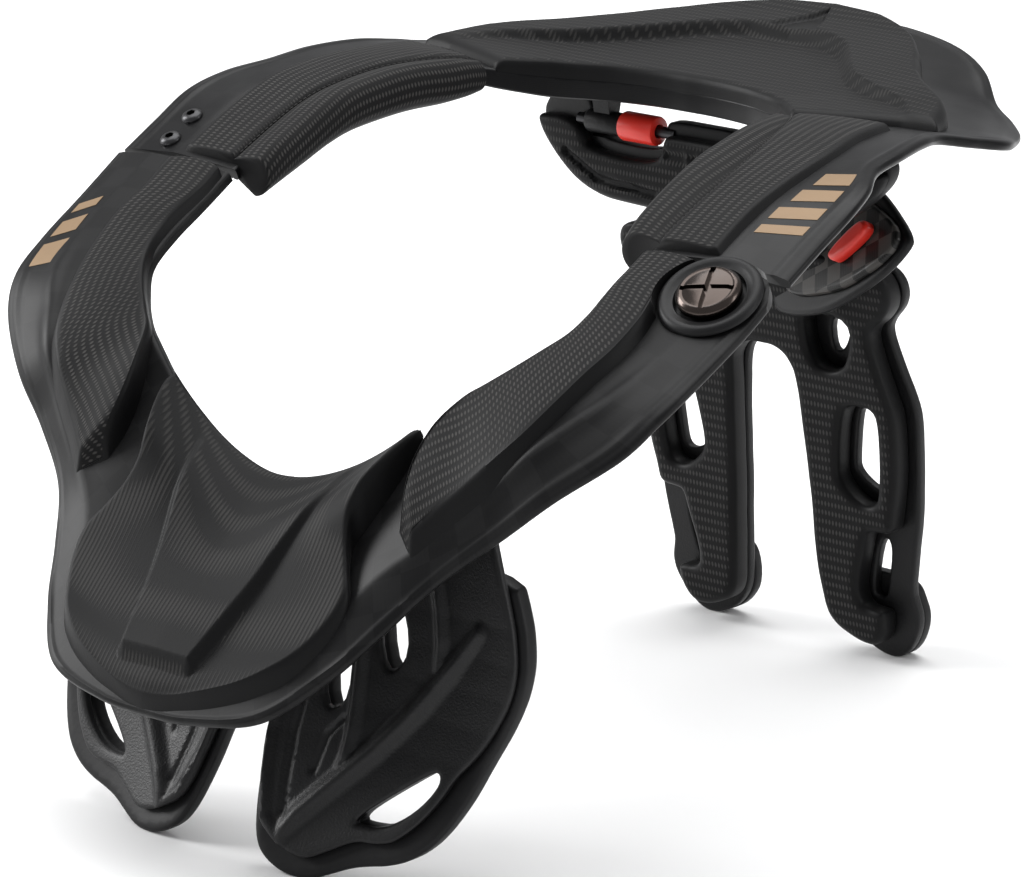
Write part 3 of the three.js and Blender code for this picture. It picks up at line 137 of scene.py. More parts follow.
# ------------------------------------------------------------------ shape helpers
def at(rows, u):
    """Rows of a table at stations u, smooth between them."""
    u = np.atleast_1d(np.asarray(u, float))
    n = len(rows) - 1
    i = np.clip(np.floor(u).astype(int), 0, n - 1)
    t = (u - i)[:, None]
    a, b, c, d = rows[np.maximum(0, i - 1)], rows[i], rows[i + 1], rows[np.minimum(n, i + 2)]
    return 0.5 * (2 * b + (c - a) * t + (2 * a - 5 * b + 4 * c - d) * t ** 2 + (3 * b - a - 3 * c + d) * t ** 3)


def shell_point(rows, u, f):
    """Points of a shell's top at stations u and fractions f (broadcast together)."""
    u, f = np.broadcast_arrays(np.asarray(u, float), np.asarray(f, float))
    r = at(rows, u.ravel())
    fr = f.ravel()[:, None]
    I, M, O = r[:, 0:3], r[:, 3:6], r[:, 6:9]
    F = 0.7
    k = (O - M) * F / (1 - F) - (M - I)
    t1 = fr / F
    p1 = I + (M - I) * t1 + k * (0.15 * t1 * t1 * (t1 - 1))
    t2 = (fr - F) / (1 - F)
    p2 = M + (O - M) * t2 - k * (0.15 * t2 * (1 - t2) ** 2 * (1 - F) / F)
    return np.where(fr <= F, p1, p2).reshape(u.shape + (3,))


def shell_normal(rows, u, f):
    n, e = len(rows) - 1, 0.03
    u, f = np.broadcast_arrays(np.asarray(u, float), np.asarray(f, float))
    a, b = shell_point(rows, u, np.maximum(0, f - e)), shell_point(rows, u, np.minimum(1, f + e))
    c, d = shell_point(rows, np.maximum(0, u - e), f), shell_point(rows, np.minimum(n, u + e), f)
    nn = np.cross(b - a, d - c)
    nn /= np.linalg.norm(nn, axis=-1, keepdims=True) + 1e-12
    nn *= np.where(nn[..., 2:3] < 0, -1, 1)
    mid = u > n - 0.01
    nn[mid, 0] = 0
    nn /= np.linalg.norm(nn, axis=-1, keepdims=True)
    return nn


def height_field(rows):
    """Interpolates a shell's height over plan points from a dense sampling of it."""
    n = len(rows) - 1
    uu, ff = np.meshgrid(np.linspace(0, n, n * 12 + 1), np.linspace(0, 1, 41), indexing="ij")
    P = shell_point(rows, uu, ff).reshape(-1, 3)
    N = shell_normal(rows, uu, ff).reshape(-1, 3)

    def z(x, y):
        x, y = np.abs(np.asarray(x, float)), np.asarray(y, float)
        out = np.empty(x.size)
        xs, ys = x.ravel(), y.ravel()
        for s in range(0, xs.size, 2000):
            X, Y = xs[s:s + 2000, None], ys[s:s + 2000, None]
            d = (P[None, :, 0] - X) ** 2 + (P[None, :, 1] - Y) ** 2
            k = np.argmin(d, 1)
            p, q = P[k], N[k]
            out[s:s + 2000] = p[:, 2] - (q[:, 0] * (X[:, 0] - p[:, 0]) + q[:, 1] * (Y[:, 0] - p[:, 1])) / np.maximum(q[:, 2], 0.25)
        return out.reshape(x.shape)
    return z


def smooth01(t):
    t = np.clip(t, 0, 1)
    return t * t * (3 - 2 * t)


def polyline(pts, keys):
    k = np.array([p[0] for p in pts], float)
    return np.interp(keys, k, np.array([p[1] for p in pts], float))


def new_object(name, verts, faces, mats, body, replaces=(), uv=None, attrs=None, sharp=35, mat_index=None):
    """A mesh object from millimetre points, in the row frame."""
    v = np.asarray(verts, float) * MM
    v[:, 1] += Y_SHIFT * MM
    me = bpy.data.meshes.new(name)
    me.from_pydata(v.tolist(), [], [tuple(f) for f in faces])
    me.validate()
    if uv is not None:
        layer = me.uv_layers.new(name="UVMap")
        li = np.empty(len(me.loops), int)
        me.loops.foreach_get("vertex_index", li)
        layer.data.foreach_set("uv", np.asarray(uv, np.float32)[li].ravel())
    for key, val in (attrs or {}).items():
        a = me.attributes.new(key, "FLOAT", "POINT")
        a.data.foreach_set("value", np.asarray(val, np.float32))
    for m in (mats if isinstance(mats, (list, tuple)) else [mats]):
        me.materials.append(m)
    if mat_index is not None:
        me.polygons.foreach_set("material_index", np.asarray(mat_index, np.int32))
    bm = bmesh.new()
    bm.from_mesh(me)
    bmesh.ops.recalc_face_normals(bm, faces=bm.faces)
    if bm.calc_volume(signed=True) < 0:
        bmesh.ops.reverse_faces(bm, faces=bm.faces)
    bm.to_mesh(me)
    bm.free()
    me.shade_smooth()
    me.set_sharp_from_angle(angle=math.radians(sharp))
    o = bpy.data.objects.new(name, me)
    bpy.context.scene.collection.objects.link(o)
    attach(o, body)
    if replaces:
        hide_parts(*replaces)
    return o


def loft(rings, closed=True):
    """Faces of a closed solid through rings: array (stations, points, 3)."""
    R = np.asarray(rings, float)
    s, m = R.shape[:2]
    i, k = np.meshgrid(np.arange(s - 1), np.arange(m), indexing="ij")
    a, b = i * m + k, i * m + (k + 1) % m
    faces = np.stack([a, b, b + m, a + m], -1).reshape(-1, 4).tolist()
    faces.append(list(range(m))[::-1])
    faces.append([(s - 1) * m + j for j in range(m)])
    return R.reshape(-1, 3), faces


def ring_uv(R):
    """UVs in metres of surface length along and across a loft."""
    across = np.concatenate([np.zeros((R.shape[0], 1)), np.cumsum(np.linalg.norm(np.diff(R, axis=1), axis=2), 1)], 1)
    along = np.concatenate([[0], np.cumsum(np.linalg.norm(np.diff(R.mean(1), axis=0), axis=1))])
    return np.stack([np.repeat(along[:, None], R.shape[1], 1), across], -1).reshape(-1, 2) * MM


def mirror_rings(half, mid=None):
    """Whole-width stations from the left half and, if given, its middle ring."""
    other = half[::-1].copy()
    other[..., 0] *= -1
    return np.concatenate([half, other] if mid is None else [half, mid[None], other])


def chaikin(pts, times=2, keep=()):
    p = np.asarray(pts, float)
    for _ in range(times):
        q = np.roll(p, -1, 0)
        p = np.stack([p * 0.75 + q * 0.25, p * 0.25 + q * 0.75], 1).reshape(-1, 2)
    return p


def resample(poly, step):
    p = np.asarray(poly, float)
    out = []
    for a, b in zip(p, np.roll(p, -1, 0)):
        k = max(1, int(np.ceil(np.linalg.norm(b - a) / step)))
        for j in range(k):
            out.append(a + (b - a) * j / k)
    return np.array(out)


def inside(poly, pts):
    x, y = pts[:, 0], pts[:, 1]
    res = np.zeros(len(pts), bool)
    for (x1, y1), (x2, y2) in zip(poly, np.roll(poly, -1, 0)):
        if y1 == y2:
            continue
        c = ((y1 > y) != (y2 > y)) & (x < (x2 - x1) * (y - y1) / (y2 - y1) + x1)
        res ^= c
    return res


def dist_to(segs_a, segs_b, pts):
    """Distance of points to a set of segments."""
    best = np.full(len(pts), 1e9)
    for a, b in zip(segs_a, segs_b):
        d = b - a
        t = np.clip(((pts - a) @ d) / max(1e-9, d @ d), 0, 1)
        best = np.minimum(best, np.linalg.norm(pts - (a + t[:, None] * d), axis=1))
    return best


def dist_line(line, pts):
    """Distance to an open polyline and the value of its further columns there."""
    L = np.asarray(line, float)
    best, val = np.full(len(pts), 1e9), np.zeros((len(pts), L.shape[1] - 2))
    for a, b in zip(L[:-1], L[1:]):
        d = b[:2] - a[:2]
        t = np.clip(((pts - a[:2]) @ d) / max(1e-9, d @ d), 0, 1)
        r = np.linalg.norm(pts - (a[:2] + t[:, None] * d), axis=1)
        k = r < best
        best[k] = r[k]
        val[k] = (a[2:] + t[:, None] * (b[2:] - a[2:]))[k]
    return best, val


def flat_mesh(outline, holes, step, rows=(0.15, 0.45, 0.9, 1.5)):
    """Triangulated flat region: points (n,2), triangles, distance to the edge."""
    loops = [resample(L, 0.8) for L in [outline] + list(holes)]
    pts = list(np.concatenate(loops))
    edges, base, ids = [], 0, []
    for L in loops:
        n = len(L)
        ids.append(list(range(base, base + n)))
        edges += [(base + i, base + (i + 1) % n) for i in range(n)]
        base += n
    lo, hi = loops[0].min(0), loops[0].max(0)
    gx, gy = np.meshgrid(np.arange(lo[0], hi[0], step), np.arange(lo[1], hi[1], step * 0.87))
    gx = gx + (np.arange(gx.shape[0]) % 2)[:, None] * step * 0.5
    g = np.stack([gx.ravel(), gy.ravel()], 1)
    ok = inside(loops[0], g)
    for h in loops[1:]:
        ok &= ~inside(h, g)
    g = g[ok]
    A = np.concatenate(loops)
    B = np.concatenate([np.roll(L, -1, 0) for L in loops])
    d = dist_to(A, B, g)
    g = g[d > rows[-1] + step * 0.55]
    near = []
    for L in loops:
        t = np.roll(L, -1, 0) - np.roll(L, 1, 0)
        nrm = np.stack([-t[:, 1], t[:, 0]], 1) / (np.linalg.norm(t, axis=1, keepdims=True) + 1e-9)
        for w in rows:
            for q in (L + nrm * w, L - nrm * w):
                good = inside(loops[0], q)
                for h in loops[1:]:
                    good &= ~inside(h, q)
                q = q[good]
                if len(q):
                    dq = dist_to(A, B, q)
                    near.append(q[dq > w * 0.93])
    allp = np.concatenate([A] + near + [g])
    res = delaunay_2d_cdt([Vector(p) for p in allp], edges, [], 0, 1e-6)
    P = np.array([tuple(v) for v in res[0]])
    T = np.array([tuple(f) for f in res[2] if len(f) == 3])
    c = P[T].mean(1)
    ok = inside(loops[0], c)
    for h in loops[1:]:
        ok &= ~inside(h, c)
    T = T[ok]
    return P, T, dist_to(A, B, P)


def slab(outline, holes, step, front, back, place):
    """Solid plate: front(P, d) and back(P, d) are depths over the outline's plane, place() puts
    (a, b, depth) into space. Returns verts, faces, uv, distance to the edge, face group."""
    P, T, d = flat_mesh(outline, holes, step)
    n = len(P)
    F, B = front(P, d), back(P, d)
    v = np.concatenate([place(P, F), place(P, B)])
    area = (P[T[:, 1], 0] - P[T[:, 0], 0]) * (P[T[:, 2], 1] - P[T[:, 0], 1]) - (P[T[:, 2], 0] - P[T[:, 0], 0]) * (P[T[:, 1], 1] - P[T[:, 0], 1])
    T = np.where((area < 0)[:, None], T[:, ::-1], T)
    faces = T.tolist() + (T[:, ::-1] + n).tolist()
    group = [0] * len(T) + [1] * len(T)
    count = {}
    for t in T:
        for a, b in ((t[0], t[1]), (t[1], t[2]), (t[2], t[0])):
            count[(a, b)] = count.get((a, b), 0) + 1
    for (a, b) in [e for e in count if (e[1], e[0]) not in count]:
        faces.append([b, a, a + n, b + n])
        group.append(2)
    uv = np.concatenate([P, P]) * MM
    return v, faces, uv, np.concatenate([d, d]), group


def rounded_edge(d, r, depth=None):
    """How far a face drops at distance d from its edge, for a round of radius r."""
    t = np.clip(d / r, 0, 1)
    return (depth if depth is not None else r) * (1 - np.sqrt(np.clip(1 - (1 - t) ** 2, 0, 1)))


def both(half):
    h = [p for p in half]
    return h + [(-x, z) for x, z in reversed(half) if x > 0.01]


def flip(pts):
    return [(-x, z) for x, z in reversed(pts)]


def boolean(o, cutters, op="DIFFERENCE"):
    for c in cutters:
        m = o.modifiers.new("cut", "BOOLEAN")
        m.operation, m.object, m.solver = op, c, "MANIFOLD"
    dg = bpy.context.evaluated_depsgraph_get()
    me = bpy.data.meshes.new_from_object(o.evaluated_get(dg))
    o.modifiers.clear()
    old = o.data
    if len(me.polygons) < 10:
        print("boolean left nothing on", o.name)
        return
    o.data = me
    me.name = old.name
    me.shade_smooth()
    me.set_sharp_from_angle(angle=math.radians(32))
    for c in cutters:
        bpy.data.objects.remove(c)


def raw_object(name, verts, faces):
    v = np.asarray(verts, float) * MM
    v[:, 1] += Y_SHIFT * MM
    me = bpy.data.meshes.new(name)
    me.from_pydata(v.tolist(), [], [tuple(f) for f in faces])
    bm = bmesh.new(); bm.from_mesh(me)
    bmesh.ops.recalc_face_normals(bm, faces=bm.faces)
    if bm.calc_volume(signed=True) < 0:
        bmesh.ops.reverse_faces(bm, faces=bm.faces)
    bm.to_mesh(me); bm.free()
    o = bpy.data.objects.new(name, me)
    bpy.context.scene.collection.objects.link(o)
    return o


def basis(axis):
    a = np.asarray(axis, float) / np.linalg.norm(axis)
    e = np.array([1.0, 0, 0]) if abs(a[0]) < 0.9 else np.array([0, 1.0, 0])
    x = e - a * (e @ a); x /= np.linalg.norm(x)
    return x, np.cross(a, x), a


def turned(profile, axis, centre, seg=96, closed=False):
    """Solid of revolution: profile of (radius, height)."""
    x, y, a = basis(axis)
    ang = np.linspace(0, 2 * math.pi, seg, endpoint=False)
    rings = []
    for r, h in profile:
        rings.append(centre + a * h + (np.cos(ang)[:, None] * x + np.sin(ang)[:, None] * y) * max(r, 1e-4))
    V = np.concatenate(rings)
    faces, n = [], len(profile)
    for i in range(n if closed else n - 1):
        j = (i + 1) % n
        for k in range(seg):
            q = (k + 1) % seg
            faces.append([i * seg + k, i * seg + q, j * seg + q, j * seg + k])
    if not closed:
        faces.append([k for k in range(seg)][::-1])
        faces.append([(n - 1) * seg + k for k in range(seg)])
    return V, faces


def box_raw(name, centre, axes, size):
    c = np.asarray(centre, float)
    X, Y, Z = [np.asarray(a, float) for a in axes]
    v = [c + sx * X * size[0] / 2 + sy * Y * size[1] / 2 + sz * Z * size[2] / 2 for sx in (-1, 1) for sy in (-1, 1) for sz in (-1, 1)]
    f = [[0, 1, 3, 2], [4, 6, 7, 5], [0, 4, 5, 1], [2, 3, 7, 6], [0, 2, 6, 4], [1, 5, 7, 3]]
    return raw_object(name, np.array(v), f)


# ------------------------------------------------------------------ materials
def material(name, color, rough, metal=0.0, spec=0.5, coat=0.0, coat_rough=0.1, grain=None, bump=0.0, bump_scale=900.0, wear=0.06):
    """Principled material with fine noise in colour, roughness and height."""
    m = bpy.data.materials.new(name)
    m.use_nodes = True
    nt = m.node_tree
    b = nt.nodes["Principled BSDF"]
    b.inputs["Metallic"].default_value = metal
    b.inputs["Specular IOR Level"].default_value = spec
    b.inputs["Coat Weight"].default_value = coat
    b.inputs["Coat Roughness"].default_value = coat_rough
    tex = nt.nodes.new("ShaderNodeTexCoord")
    big = nt.nodes.new("ShaderNodeTexNoise"); big.inputs["Scale"].default_value = 45; big.inputs["Detail"].default_value = 5
    nt.links.new(tex.outputs["Object"], big.inputs["Vector"])
    cr = nt.nodes.new("ShaderNodeValToRGB")
    cr.color_ramp.elements[0].position, cr.color_ramp.elements[1].position = 0.3, 0.75
    cr.color_ramp.elements[0].color = (*[c * (1 - wear) for c in color], 1)
    cr.color_ramp.elements[1].color = (*[min(1, c * (1 + wear * 2)) for c in color], 1)
    nt.links.new(big.outputs["Fac"], cr.inputs["Fac"])
    nt.links.new(cr.outputs["Color"], b.inputs["Base Color"])
    mr = nt.nodes.new("ShaderNodeMapRange")
    mr.inputs["To Min"].default_value, mr.inputs["To Max"].default_value = max(0.02, rough - 0.05), rough + 0.07
    nt.links.new(big.outputs["Fac"], mr.inputs["Value"])
    nt.links.new(mr.outputs["Result"], b.inputs["Roughness"])
    if bump > 0:
        fine = nt.nodes.new("ShaderNodeTexNoise"); fine.inputs["Scale"].default_value = bump_scale; fine.inputs["Detail"].default_value = 3
        nt.links.new(tex.outputs["Object"], fine.inputs["Vector"])
        bp = nt.nodes.new("ShaderNodeBump"); bp.inputs["Strength"].default_value = 1.0; bp.inputs["Distance"].default_value = bump
        nt.links.new(fine.outputs["Fac"], bp.inputs["Height"])
        nt.links.new(bp.outputs["Normal"], b.inputs["Normal"])
    return m


def weave(name, base=(0.0042, 0.0042, 0.0045), light=(0.052, 0.05, 0.048), pitch=1.3, rough=0.6, tilt=0.0, height=0.0002):
    """Embossed cloth: staggered raised dashes over the UV map (in metres), bumped and tinted lighter as a painted
    highlight on their tops. The vertex value
    'wall' turns it into the smooth moulded edge, with neither dashes nor painted highlight."""
    m = bpy.data.materials.new(name)
    m.use_nodes = True
    nt = m.node_tree
    N, L = nt.nodes, nt.links
    b = N["Principled BSDF"]
    b.inputs["Specular IOR Level"].default_value = 0.13
    b.inputs["Sheen Weight"].default_value = 0.02
    b.inputs["Sheen Roughness"].default_value = 0.4
    uv = N.new("ShaderNodeUVMap"); uv.uv_map = "UVMap"
    mp = N.new("ShaderNodeMapping"); mp.inputs["Scale"].default_value = (1000 / pitch, 1000 / pitch, 1); mp.inputs["Rotation"].default_value = (0, 0, tilt)
    L.new(uv.outputs["UV"], mp.inputs["Vector"])
    sep = N.new("ShaderNodeSeparateXYZ"); L.new(mp.outputs["Vector"], sep.inputs[0])

    def wave(sign):
        k = N.new("ShaderNodeMath"); k.operation = "MULTIPLY"; k.inputs[1].default_value = sign * 0.44
        L.new(sep.outputs["Y"], k.inputs[0])
        sm = N.new("ShaderNodeMath"); sm.operation = "ADD"; L.new(sep.outputs["X"], sm.inputs[0]); L.new(k.outputs[0], sm.inputs[1])
        ml = N.new("ShaderNodeMath"); ml.operation = "MULTIPLY"; ml.inputs[1].default_value = math.pi; L.new(sm.outputs[0], ml.inputs[0])
        sn = N.new("ShaderNodeMath"); sn.operation = "SINE"; L.new(ml.outputs[0], sn.inputs[0])
        return sn
    pr = N.new("ShaderNodeMath"); pr.operation = "MULTIPLY"
    L.new(wave(1).outputs[0], pr.inputs[0]); L.new(wave(-1).outputs[0], pr.inputs[1])
    inv = N.new("ShaderNodeMapRange"); inv.interpolation_type = "SMOOTHSTEP"
    inv.inputs["From Min"].default_value, inv.inputs["From Max"].default_value = -0.05, 0.8
    L.new(pr.outputs[0], inv.inputs["Value"])
    at_ = N.new("ShaderNodeAttribute"); at_.attribute_type = "GEOMETRY"; at_.attribute_name = "wall"
    soft = N.new("ShaderNodeMath"); soft.operation = "SUBTRACT"; soft.inputs[0].default_value = 1.0; soft.use_clamp = True
    L.new(at_.outputs["Fac"], soft.inputs[1])
    amt = N.new("ShaderNodeMath"); amt.operation = "MULTIPLY"
    L.new(inv.outputs[0], amt.inputs[0]); L.new(soft.outputs[0], amt.inputs[1])
    tex = N.new("ShaderNodeTexCoord")
    big = N.new("ShaderNodeTexNoise"); big.inputs["Scale"].default_value = 60; big.inputs["Detail"].default_value = 4
    L.new(tex.outputs["Object"], big.inputs["Vector"])
    vary = N.new("ShaderNodeMapRange"); vary.inputs["To Min"].default_value = 0.55; vary.inputs["To Max"].default_value = 1.0
    L.new(big.outputs["Fac"], vary.inputs["Value"])
    painted_dash_highlight = N.new("ShaderNodeMath"); painted_dash_highlight.operation = "MULTIPLY"
    L.new(amt.outputs[0], painted_dash_highlight.inputs[0]); L.new(vary.outputs["Result"], painted_dash_highlight.inputs[1])
    # painted highlight: the raised dashes are tinted from the base colour towards the light colour, unevenly by the
    # noise
    cr = N.new("ShaderNodeValToRGB")
    cr.color_ramp.elements[0].color = (*base, 1)
    cr.color_ramp.elements[1].color = (*light, 1)
    cr.color_ramp.elements[0].position = 0.2
    L.new(painted_dash_highlight.outputs[0], cr.inputs["Fac"])
    L.new(cr.outputs["Color"], b.inputs["Base Color"])
    rr = N.new("ShaderNodeMapRange"); rr.inputs["To Min"].default_value = 0.47; rr.inputs["To Max"].default_value = rough
    L.new(soft.outputs[0], rr.inputs["Value"])
    L.new(rr.outputs["Result"], b.inputs["Roughness"])
    bp = N.new("ShaderNodeBump"); bp.inputs["Strength"].default_value = 0.36; bp.inputs["Distance"].default_value = height
    L.new(amt.outputs[0], bp.inputs["Height"])
    fine = N.new("ShaderNodeTexNoise"); fine.inputs["Scale"].default_value = 1400
    L.new(tex.outputs["Object"], fine.inputs["Vector"])
    bp2 = N.new("ShaderNodeBump"); bp2.inputs["Strength"].default_value = 0.5; bp2.inputs["Distance"].default_value = 0.00006
    L.new(fine.outputs["Fac"], bp2.inputs["Height"]); L.new(bp.outputs["Normal"], bp2.inputs["Normal"])
    L.new(bp2.outputs["Normal"], b.inputs["Normal"])
    return m


def carbon(name, base, light, tile=8.5, rough=0.24, contrast=1.0, coat=0.5):
    """Glossy laminate whose chequered tows show faintly through the lacquer."""
    m = bpy.data.materials.new(name)
    m.use_nodes = True
    nt = m.node_tree
    N, L = nt.nodes, nt.links
    b = N["Principled BSDF"]
    b.inputs["Specular IOR Level"].default_value = 0.15
    b.inputs["Coat Weight"].default_value = coat
    b.inputs["Coat Roughness"].default_value = 0.16
    tex = N.new("ShaderNodeTexCoord")
    uv = N.new("ShaderNodeUVMap"); uv.uv_map = "UVMap"
    mp = N.new("ShaderNodeMapping"); mp.inputs["Scale"].default_value = (1000 / tile,) * 3
    L.new(uv.outputs["UV"], mp.inputs["Vector"])
    ch = N.new("ShaderNodeTexChecker"); ch.inputs["Scale"].default_value = 1.0
    ch.inputs["Color1"].default_value, ch.inputs["Color2"].default_value = (0, 0, 0, 1), (1, 1, 1, 1)
    L.new(mp.outputs["Vector"], ch.inputs["Vector"])
    fib = N.new("ShaderNodeTexWave"); fib.inputs["Scale"].default_value = 1.0; fib.inputs["Distortion"].default_value = 0.6
    mp2 = N.new("ShaderNodeMapping"); mp2.inputs["Scale"].default_value = (1000 / tile * 2.2,) * 3
    L.new(uv.outputs["UV"], mp2.inputs["Vector"]); L.new(mp2.outputs["Vector"], fib.inputs["Vector"])
    mix = N.new("ShaderNodeMath"); mix.operation = "MULTIPLY_ADD"; mix.inputs[1].default_value = 0.18
    L.new(fib.outputs["Fac"], mix.inputs[0])
    half = N.new("ShaderNodeMath"); half.operation = "MULTIPLY"; half.inputs[1].default_value = contrast
    L.new(ch.outputs["Fac"], half.inputs[0]); L.new(half.outputs[0], mix.inputs[2])
    cr = N.new("ShaderNodeValToRGB")
    cr.color_ramp.elements[0].color = (*base, 1)
    cr.color_ramp.elements[1].color = (*light, 1)
    L.new(mix.outputs[0], cr.inputs["Fac"])
    L.new(cr.outputs["Color"], b.inputs["Base Color"])
    big = N.new("ShaderNodeTexNoise"); big.inputs["Scale"].default_value = 30; big.inputs["Detail"].default_value = 6
    L.new(tex.outputs["Object"], big.inputs["Vector"])
    mr = N.new("ShaderNodeMapRange"); mr.inputs["To Min"].default_value = rough - 0.04; mr.inputs["To Max"].default_value = rough + 0.1
    L.new(big.outputs["Fac"], mr.inputs["Value"])
    L.new(mr.outputs["Result"], b.inputs["Roughness"])
    fine = N.new("ShaderNodeTexNoise"); fine.inputs["Scale"].default_value = 700; fine.inputs["Detail"].default_value = 2
    L.new(tex.outputs["Object"], fine.inputs["Vector"])
    bp = N.new("ShaderNodeBump"); bp.inputs["Strength"].default_value = 0.6; bp.inputs["Distance"].default_value = 0.00003
    L.new(fine.outputs["Fac"], bp.inputs["Height"])
    L.new(bp.outputs["Normal"], b.inputs["Normal"])
    return m


M_SATIN = carbon("satin shell", (0.0042, 0.0042, 0.0045), (0.0075, 0.0075, 0.0078), tile=9, rough=0.4, contrast=0.8, coat=0.0)
M_GLOSS = carbon("gloss shell", (0.0036, 0.0036, 0.004), (0.006, 0.006, 0.0064), tile=9, rough=0.3, contrast=0.8, coat=0.0)
M_FACE = carbon("chequer carbon", (0.007, 0.007, 0.007), (0.06, 0.056, 0.052), tile=6.5, rough=0.28, contrast=0.9, coat=0.1)
# the pads' light colours tint the raised dashes as a painted highlight
M_PAD = weave("embossed pad")
M_PADC = weave("embossed chin and table pad", pitch=1.5, light=(0.026, 0.025, 0.024), height=0.00012)
M_PADF = weave("embossed strut pad", pitch=1.4, light=(0.045, 0.0435, 0.042))
M_PLASTIC = material("grained plastic", (0.007, 0.007, 0.0075), 0.42, spec=0.2, bump=0.00012, bump_scale=1600)
M_PLATE = material("ribbed plate", (0.009, 0.009, 0.0095), 0.4, spec=0.24, bump=0.00012, bump_scale=1500)
M_RUBBER = material("rubber rim", (0.006, 0.006, 0.0065), 0.45, spec=0.2, bump=0.00005, bump_scale=700)
M_RED = material("red plastic", (0.72, 0.03, 0.018), 0.36, bump=0.00003, bump_scale=500)
M_BRONZE = material("dark bronze", (0.06, 0.049, 0.044), 0.2, metal=1.0, bump=0.00002, bump_scale=800)
M_STEEL = material("blackened steel", (0.05, 0.05, 0.052), 0.36, metal=1.0, bump=0.00002, bump_scale=800)
M_GOLD = material("gold print", (0.21, 0.135, 0.07), 0.5, metal=0.2, bump=0.00002, bump_scale=900)
M_THREAD = material("thread", (0.02, 0.0195, 0.019), 0.7, spec=0.3, bump=0.00004, bump_scale=2500)


# ------------------------------------------------------------------ shells
def edge_bead(rows, u, f):
    """Raised smooth line beside a shell's outer edge."""
    return 0.5 * np.exp(-((f - 0.93) / 0.018) ** 2)


def shell_rings(rows, us, bead=0.0, extra=None):
    us = np.asarray(us, float)
    r = at(rows, us)
    width = np.linalg.norm(r[:, 6:9] - r[:, 0:3], axis=1)
    A = 56
    f = np.linspace(0, 1, A)
    f = 0.5 - 0.5 * np.cos(np.pi * (f * 0.96 + 0.02)); f = (f - f[0]) / (f[-1] - f[0])
    U, Fm = np.meshgrid(us, f, indexing="ij")
    P, Nn = shell_point(rows, U, Fm), shell_normal(rows, U, Fm)
    W = width[:, None]
    dO, dI = (1 - Fm) * W, Fm * W
    drop = rounded_edge(dO, 1.7, 1.5) + rounded_edge(dI, 1.6, 1.4)
    h = -drop
    if bead:
        h = h + bead * np.exp(-((dO - 3.4) / 0.9) ** 2)
    if extra is not None:
        h = h + extra(U, Fm, dO, dI)
    top = P + Nn * h[..., None]
    # underside: outer edge, under, inner wall
    und = []
    s = (shell_point(rows, us, np.full_like(us, 1.0)) - shell_point(rows, us, np.full_like(us, 0.98)))
    s /= np.linalg.norm(s, axis=1, keepdims=True)
    nO, nI = shell_normal(rows, us, np.full_like(us, 1.0)), shell_normal(rows, us, np.full_like(us, 0.0))
    po = shell_point(rows, us, np.full_like(us, 1.0))
    for dn, ds in ((-2.0, 0.0), (-2.7, -0.3), (-3.2, -0.9), (-3.4, -1.8)):
        und.append(po + nO * dn + s * ds)
    for ff in np.linspace(0.96, 0.16, 16):
        g = np.full_like(us, ff)
        und.append(shell_point(rows, us, g) + shell_normal(rows, us, g) * (-SHELL_T))
    wall = 3.2 / width
    lip = r[:, 9]
    for ff, dd in ((wall + 0.03, -SHELL_T - 0.1), (wall + 0.01, -SHELL_T - 0.8), (wall, None), (wall * 0.8, 1), (wall * 0.25, 1), (wall * 0.0, 0.8)):
        g = np.asarray(ff) * np.ones_like(us)
        if dd is None:
            depth = -lip + 0.5
        elif dd == 1:
            depth = -lip
        elif dd == 0.8:
            depth = -lip + 0.6
        else:
            depth = np.full_like(us, dd)
        und.append(shell_point(rows, us, g) + shell_normal(rows, us, g) * np.asarray(depth)[:, None])
    R = np.concatenate([top, np.stack(und, 1)], 1)
    return R, A


def make_shell(name, rows, mats, body, per, extra=None, bead=0.0, slotname=None, split=None):
    n = len(rows) - 1
    us = np.linspace(0, n, int(n * per) + 1)
    R, A = shell_rings(rows, us, bead, extra)
    mid = R[-1].copy(); mid[:, 0] = 0
    full = mirror_rings(R[:-1], mid)
    V, faces = loft(full)
    uv = ring_uv(full)
    return V, faces, uv, full, A


front_z, rear_z = height_field(FRONT), height_field(REAR)


def front_extra(U, F, dO, dI):
    # soft step where the padded chin area meets the smooth outer band
    ridge = 0.9 * np.exp(-((F - 0.72) / 0.05) ** 2) * smooth01((U - 1.6) / 1.5) * smooth01((8.5 - U) / 2.5)
    return ridge


V, faces, uv, full, A = make_shell("front", FRONT, M_SATIN, "front", 22, extra=front_extra, bead=0.35)
front = new_object("front_shell", V, faces, [M_SATIN, M_GLOSS], "front", ("front_frame",), uv=uv)
# round near end about the hinge screw (no hole is cut for it)
corner = box_raw("corner", (133.5, -34.5, 175), ([1, 0, 0], [0, 1, 0], [0, 0, 1]), (32.5, 29, 60))
Vd, Fd = turned([(SWING_R - 0.45, -35), (SWING_R - 0.45, 35)], AXIS, PIVOT)
disc = raw_object("disc", Vd, Fd)
boolean(corner, [disc])
Vd, Fd = turned([(SCREW_R + 1.2, -35), (SCREW_R + 1.2, 35)], AXIS, PIVOT)
boolean(front, [corner])

V, faces, uv, full, A = make_shell("rear", REAR, M_GLOSS, "rear", 22, bead=0.4)
rear = new_object("rear_shell", V, faces, [M_GLOSS], "rear", ("rear_frame",), uv=uv)
Vd, Fd = turned([(SWING_R + 0.2, -35), (SWING_R + 0.2, 35)], AXIS, PIVOT)
boolean(rear, [raw_object("disc2", Vd, Fd)])


# ------------------------------------------------------------------ pads on the arms
def edge_profile(t):
    """Height fraction of a moulded pad across its chamfer, 0 at the foot and 1 on top."""
    return smooth01(t) * 0.15 + np.clip(t, 0, 1) * 0.85


